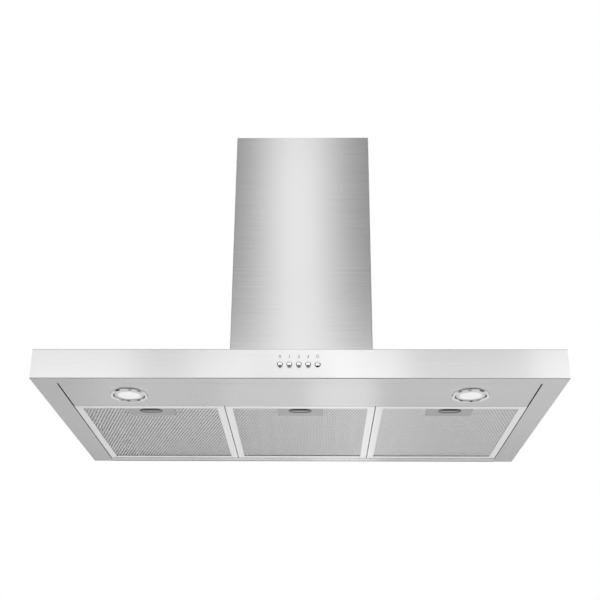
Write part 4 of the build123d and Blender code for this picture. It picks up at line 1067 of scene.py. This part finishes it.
@dataclass
class Lamp:
    """Round lamp: chrome ring, cast body with a groove, lit lens, and the board and clips behind them."""

    place: Place
    sides: int = 72
    ring_radius: float = 33.0 * MM
    ring_height: float = 3.0 * MM
    ring_clearance: float = 0.3 * MM
    # How far both flanks of the ring lean in, and how its corners and its bore are rounded.
    ring_lean: float = 1.0 * MM
    ring_outer_edge: float = 0.12 * MM
    ring_inner_edge: float = 0.9 * MM
    bore_depth: float = 0.7 * MM
    bore_lean: float = 0.1 * MM
    bore_edge: float = 0.3 * MM
    body_radius: float = 26.5 * MM
    body_height: float = 22.0 * MM
    body_wall: float = 1.6 * MM
    body_edges: tuple[float, float] = (0.25 * MM, 0.35 * MM)
    groove: float = 1.4 * MM
    lens_radius: float = 20.5 * MM
    lens_thickness: float = 2.4 * MM
    lens_clearance: float = 0.2 * MM
    lens_ledge: float = 2.2 * MM
    lens_edges: tuple[float, float] = (0.5 * MM, 0.2 * MM)
    face: float = -0.8 * MM

    def build(self) -> None:
        """Makes the round pieces and dresses the others."""
        side = self.place.value
        self.add("ring", self.ring_line(), Finish.SATIN_CHROME, "chrome", closed=True)
        body, shaded_groove = self.body_line()
        self.add("capsule", body, Finish.CAST_ALUMINIUM, "lamp_body", closed=True, shaded_groove=shaded_groove)
        back = self.face + self.lens_thickness
        front_edge, back_edge = self.lens_edges
        corners = [(self.lens_radius, self.face, front_edge), (self.lens_radius, back, back_edge)]
        lens = rounded([(0.0, self.face, 0.0), *corners, (0.0, back, 0.0)])
        self.add("lens", lens, Finish.LENS, "lens")
        dress(Finish.BOARD, f"lamp_board_{side}")
        dress(Finish.SPRING, f"lamp_clips_{side}")

    def ring_line(self) -> Line:
        """Draws the ring's section, whose flanks lean in.

        Returns:
            Radius and height of its points.
        """
        bore = self.body_radius + self.ring_clearance
        corners = [
            (bore, 0.0, 0.0),
            (self.ring_radius, 0.0, 0.0),
            (self.ring_radius - self.ring_lean, -self.ring_height, self.ring_outer_edge),
            (bore + self.ring_lean, -self.ring_height, self.ring_inner_edge),
            (bore + self.bore_lean, -self.bore_depth, self.bore_edge),
            (bore, 0.0, 0.0),
        ]
        return rounded(corners)[:-1]

    def body_line(self) -> tuple[Line, Iterable[int]]:
        """Draws the cast body's section, with the lens's seat in its face and a groove round it.

        Returns:
            Radius and height of its points, and the faces of grey plastic that line the groove as painted
            shade:
            the groove's wall, its floor and the first of the outside.
        """
        seat = self.lens_radius + self.lens_clearance
        ledge = seat - self.lens_ledge
        rim = self.body_radius - self.groove
        back = self.face + self.lens_thickness
        ceiling = self.body_height - self.body_wall
        corners = [
            (ledge, back, 0.0),
            (seat, back, 0.0),
            (seat, self.face, self.body_edges[0]),
            (rim, self.face, self.body_edges[1]),
            (rim, self.face + self.groove, 0.0),
        ]
        front = rounded(corners)
        outside = [(self.body_radius, self.face + self.groove), (self.body_radius, self.body_height)]
        inside = [(0.0, self.body_height), (0.0, ceiling), (ledge, ceiling)]
        shaded_groove = range((len(front) - 2) * self.sides, (len(front) + 1) * self.sides)
        return front + outside + inside, shaded_groove

    def add(
        self,
        part: str,
        line: Line,
        finish: Finish,
        slot: str,
        closed: bool = False,
        shaded_groove: Iterable[int] = (),
    ) -> None:
        """Makes one round piece in the place of its CAD node.

        Args:
            part: the CAD node's middle name.
            line: outline as radius and height.
            finish: its finish.
            slot: not used.
            closed: the outline goes all the way round.
            shaded_groove: faces that are grey plastic, painted shade in the groove.
        """
        side = self.place.value
        low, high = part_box(f"lamp_lens_{side}")
        axis = ((low.x + high.x) / 2, (low.y + high.y) / 2, 0.0)
        name = f"lamp_{part}_{side}_turned"
        # The groove's faces are grey plastic, painted shade in the groove.
        second = (Finish.GREY, shaded_groove) if shaded_groove else None
        mesh = new_mesh(name, lathe(line, self.sides, closed), finish, second=second)
        piece = new_piece(name, mesh, axis)
        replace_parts(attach(piece, "hood"), f"lamp_{part}_{side}")


@dataclass
class MeshPack:
    """A filter's sheets of expanded aluminium, whose strands stand askew, and the pleats between them."""

    half: float = 134.2 * MM
    front: float = -373.5 * MM
    rear: float = -28.8 * MM
    # The corner that is left free for the latch tray.
    notch_half: float = 41.95 * MM
    notch_rear: float = -318.3 * MM
    notch_clearance: float = 1.0 * MM
    # The real foil's cells are about 4 by 8 mm. They are drawn larger, because finer ones don't show.
    cell_across: float = 5.9 * MM
    cell_along: float = 16.0 * MM
    strand_width: float = 2.4 * MM
    strand_thickness: float = 0.35 * MM
    strand_overlap: float = 0.3 * MM
    tilt: float = math.radians(5)
    sheet_levels: tuple[float, float] = (1.45 * MM, 7.55 * MM)
    pleats: int = 10
    pleat_valley: float = 2.4 * MM
    pleat_ridge: float = 6.2 * MM
    pleat_foil: float = 0.4 * MM

    def strands(self) -> Iterable[tuple[Vector, Vector]]:
        """Lays out one sheet's strands, row by row.

        Returns:
            The two ends of each strand.
        """
        columns = int(2 * self.half / self.cell_across)
        rows = int((self.rear - self.front) / self.cell_along)
        step_x, step_y = 2 * self.half / columns, (self.rear - self.front) / rows
        for row in range(2 * rows):
            for column in range(columns):
                start_x = -self.half + (column + 0.5 * (row % 2)) * step_x
                start_y = self.front + row * step_y / 2
                for side in (-1, 1):
                    start = Vector((start_x, start_y, 0.0))
                    end = Vector((start_x + side * step_x / 2, start_y + step_y / 2, 0.0))
                    if max(abs(start.x), abs(end.x)) <= self.half + HAIR:
                        yield from self.clear_of_notch(start, end)

    def clear_of_notch(self, start: Vector, end: Vector) -> list[tuple[Vector, Vector]]:
        """Cuts a strand where the notch for the latch tray begins.

        Args:
            start: the strand's front end.
            end: its rear end.

        Returns:
            The ends of what is left, in a list that is empty where nothing is.
        """
        if min(start.y, end.y) >= self.notch_rear:
            return [(start, end)]
        inner, outer = sorted((start, end), key=lambda point: abs(point.x))
        if abs(outer.x) <= self.notch_half:
            return []
        if abs(inner.x) >= self.notch_half:
            return [(start, end)]
        cut = inner.lerp(outer, (self.notch_half - abs(inner.x)) / (abs(outer.x) - abs(inner.x)))
        return [(cut, end)] if inner is start else [(start, cut)]

    def sheet(self, level: float) -> Shape:
        """Makes a flat sheet.

        Args:
            level: height of its middle plane.

        Returns:
            Points and faces.
        """
        points: list[Point] = []
        faces: Faces = []
        for start, end in self.strands():
            run = (end - start).normalized()
            lean = UP.cross(run) * math.cos(self.tilt) + UP * math.sin(self.tilt)
            wide, thick = lean * (self.strand_width / 2), run.cross(lean) * (self.strand_thickness / 2)
            faces += bar_faces(2, len(points))
            for base in (start - run * self.strand_overlap, end + run * self.strand_overlap):
                for reach in (-wide - thick, wide - thick, wide + thick, thick - wide):
                    corner = base + reach
                    points.append((corner.x, corner.y, corner.z + level))
        return points, faces

    def pleated(self) -> Shape:
        """Makes the pleated foil between the flat sheets.

        Returns:
            Points and faces.
        """
        step = self.half / self.pleats
        sides = []
        for number in range(2 * self.pleats):
            x_first, x_last = -self.half + number * step, -self.half + (number + 1) * step
            z_first, z_last = self.pleat_valley, self.pleat_ridge
            if number % 2:
                z_first, z_last = z_last, z_first
            notched = min(abs(x_first), abs(x_last)) < self.notch_half
            points: list[Point] = []
            for y in (self.notch_rear + self.notch_clearance if notched else self.front, self.rear):
                points += [(x_first, y, z_first), (x_last, y, z_last)]
                points += [(x_last, y, z_last + self.pleat_foil), (x_first, y, z_first + self.pleat_foil)]
            sides.append((points, bar_faces(2)))
        return joined(*sides)

    def mesh(self) -> bpy.types.Mesh:
        """Makes the mesh that the three filters share.

        Returns:
            The mesh.
        """
        flat = joined(*(self.sheet(level) for level in self.sheet_levels))
        pleated = self.pleated()
        inner = (Finish.SHADED_INNER_ALUMINIUM, range(len(flat[1]), len(flat[1]) + len(pleated[1])))
        shape = joined(flat, pleated)
        return new_mesh("filter_mesh_expanded", shape, Finish.EXPANDED_ALUMINIUM, smooth=False, second=inner)


@dataclass
class LatchSpring:
    """Bow of spring steel that pushes a latch home: its feet stay on the tray, its crown on the slider."""

    place: Place
    sheet: float = 0.4 * MM
    half: float = 18.0 * MM
    bends: int = 24

    def build(self) -> None:
        """Makes the bow in the place of its CAD node."""
        name = self.place.value
        node = f"latch_spring_{name}"
        low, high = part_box(node)
        across, crown, foot = (low.x + high.x) / 2, low.y + self.sheet / 2, high.y - self.sheet / 2
        points: list[Point] = []
        for number in range(self.bends + 1):
            share = 2 * number / self.bends - 1
            slope = 2 * (foot - crown) * share / self.half
            outward = Vector((-slope, 1.0, 0.0)).normalized() * self.sheet / 2
            x, y = across + share * self.half, crown + (foot - crown) * share**2
            for side, level in ((-1, low.z), (1, low.z), (1, high.z), (-1, high.z)):
                points.append((x + side * outward.x, y + side * outward.y, level))
        mesh = new_mesh(f"{node}_bow", (points, bar_faces(self.bends + 1)), Finish.SPRING)
        piece = new_piece(f"{node}_bow", mesh)
        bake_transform(piece)
        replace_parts(piece, node)


@dataclass
class GreaseFilter:
    """Grease filter: mitred frame, mesh pack, latch tray with its slider and spring."""

    place: Place
    pack: bpy.types.Mesh

    def build(self) -> None:
        """Dresses the frame and the latch, and adds the spring and the expanded mesh."""
        name = self.place.value
        dress(Finish.FRAME_STEEL, f"filter_frame_{name}")
        dress(Finish.TRAY_STEEL, f"latch_tray_{name}")
        dress(Finish.SLIDER, f"latch_slider_{name}")
        LatchSpring(self.place).build()
        node = f"filter_mesh_{name}"
        low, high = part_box(node)
        piece = new_piece(f"{node}_expanded", self.pack, ((low.x + high.x) / 2, 0.0, 0.0))
        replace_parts(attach(piece, f"filter_{name}"), node)


@dataclass
class Electrics:
    """Terminal box and lamp driver over the lamp panel."""

    def build(self) -> None:
        """Dresses the electrical parts."""
        dress(Finish.WHITE, "terminal_lid", "lamp_driver")
        dress(Finish.GREY, "terminal_box")
        dress(Finish.BLACK, "terminal_block")


@dataclass
class Airbox:
    """Galvanised airbox over the canopy, its screws and the cable gland."""

    def build(self) -> None:
        """Dresses the airbox."""
        dress(Finish.GALVANISED, "airbox_body", "airbox_front", "airbox_top")
        dress(Finish.ZINC, "airbox_screws")
        dress(Finish.GREY, "cable_gland")


@dataclass
class Blower:
    """Scroll casing, double-inlet impeller, motor with its shaft, bracket and capacitor."""

    def build(self) -> None:
        """Dresses the blower."""
        dress(Finish.BLACK, "scroll_half_left", "scroll_half_right")
        dress(Finish.GREY, "impeller")
        dress(Finish.MOTOR_PAINT, "motor")
        dress(Finish.GROUND, "motor_shaft")
        dress(Finish.ZINC, "motor_bracket")
        dress(Finish.WHITE, "capacitor")


@dataclass
class Outlet:
    """Transition and collar with the two non-return flaps on their pin."""

    def build(self) -> None:
        """Dresses the outlet."""
        dress(Finish.GALVANISED, "outlet_collar")
        dress(Finish.GROUND, "damper_pin")
        dress(Finish.BLACK, "damper_flap_front", "damper_flap_rear")


@dataclass
class Chimney:
    """Lower and upper chimney covers and the strip that hangs the upper one."""

    def build(self) -> None:
        """Dresses the covers and the strip."""
        dress(Finish.STAINLESS, "chimney_lower", "chimney_upper")
        dress(Finish.GALVANISED, "chimney_hanger")


def main() -> None:
    """Builds and dresses every piece in order."""
    logging.basicConfig(level=logging.INFO, format="%(message)s")
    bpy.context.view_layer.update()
    bpy.context.scene.view_settings.view_transform = "Standard"
    parts: list[Any] = [Studio(), PhotoCamera(), Canopy(), *(Legend(button) for button in Button)]
    parts += [Electrics(), Airbox(), Blower(), Outlet(), Chimney()]
    parts += [*(PushButton(button) for button in Button), Lamp(Place.LEFT), Lamp(Place.RIGHT)]
    pack = MeshPack().mesh()
    parts += [GreaseFilter(place, pack) for place in Place]
    for part in parts:
        part.build()
        LOG.info("finished %s", type(part).__name__)
    bpy.context.view_layer.update()


if __name__ == "__main__":
    main()
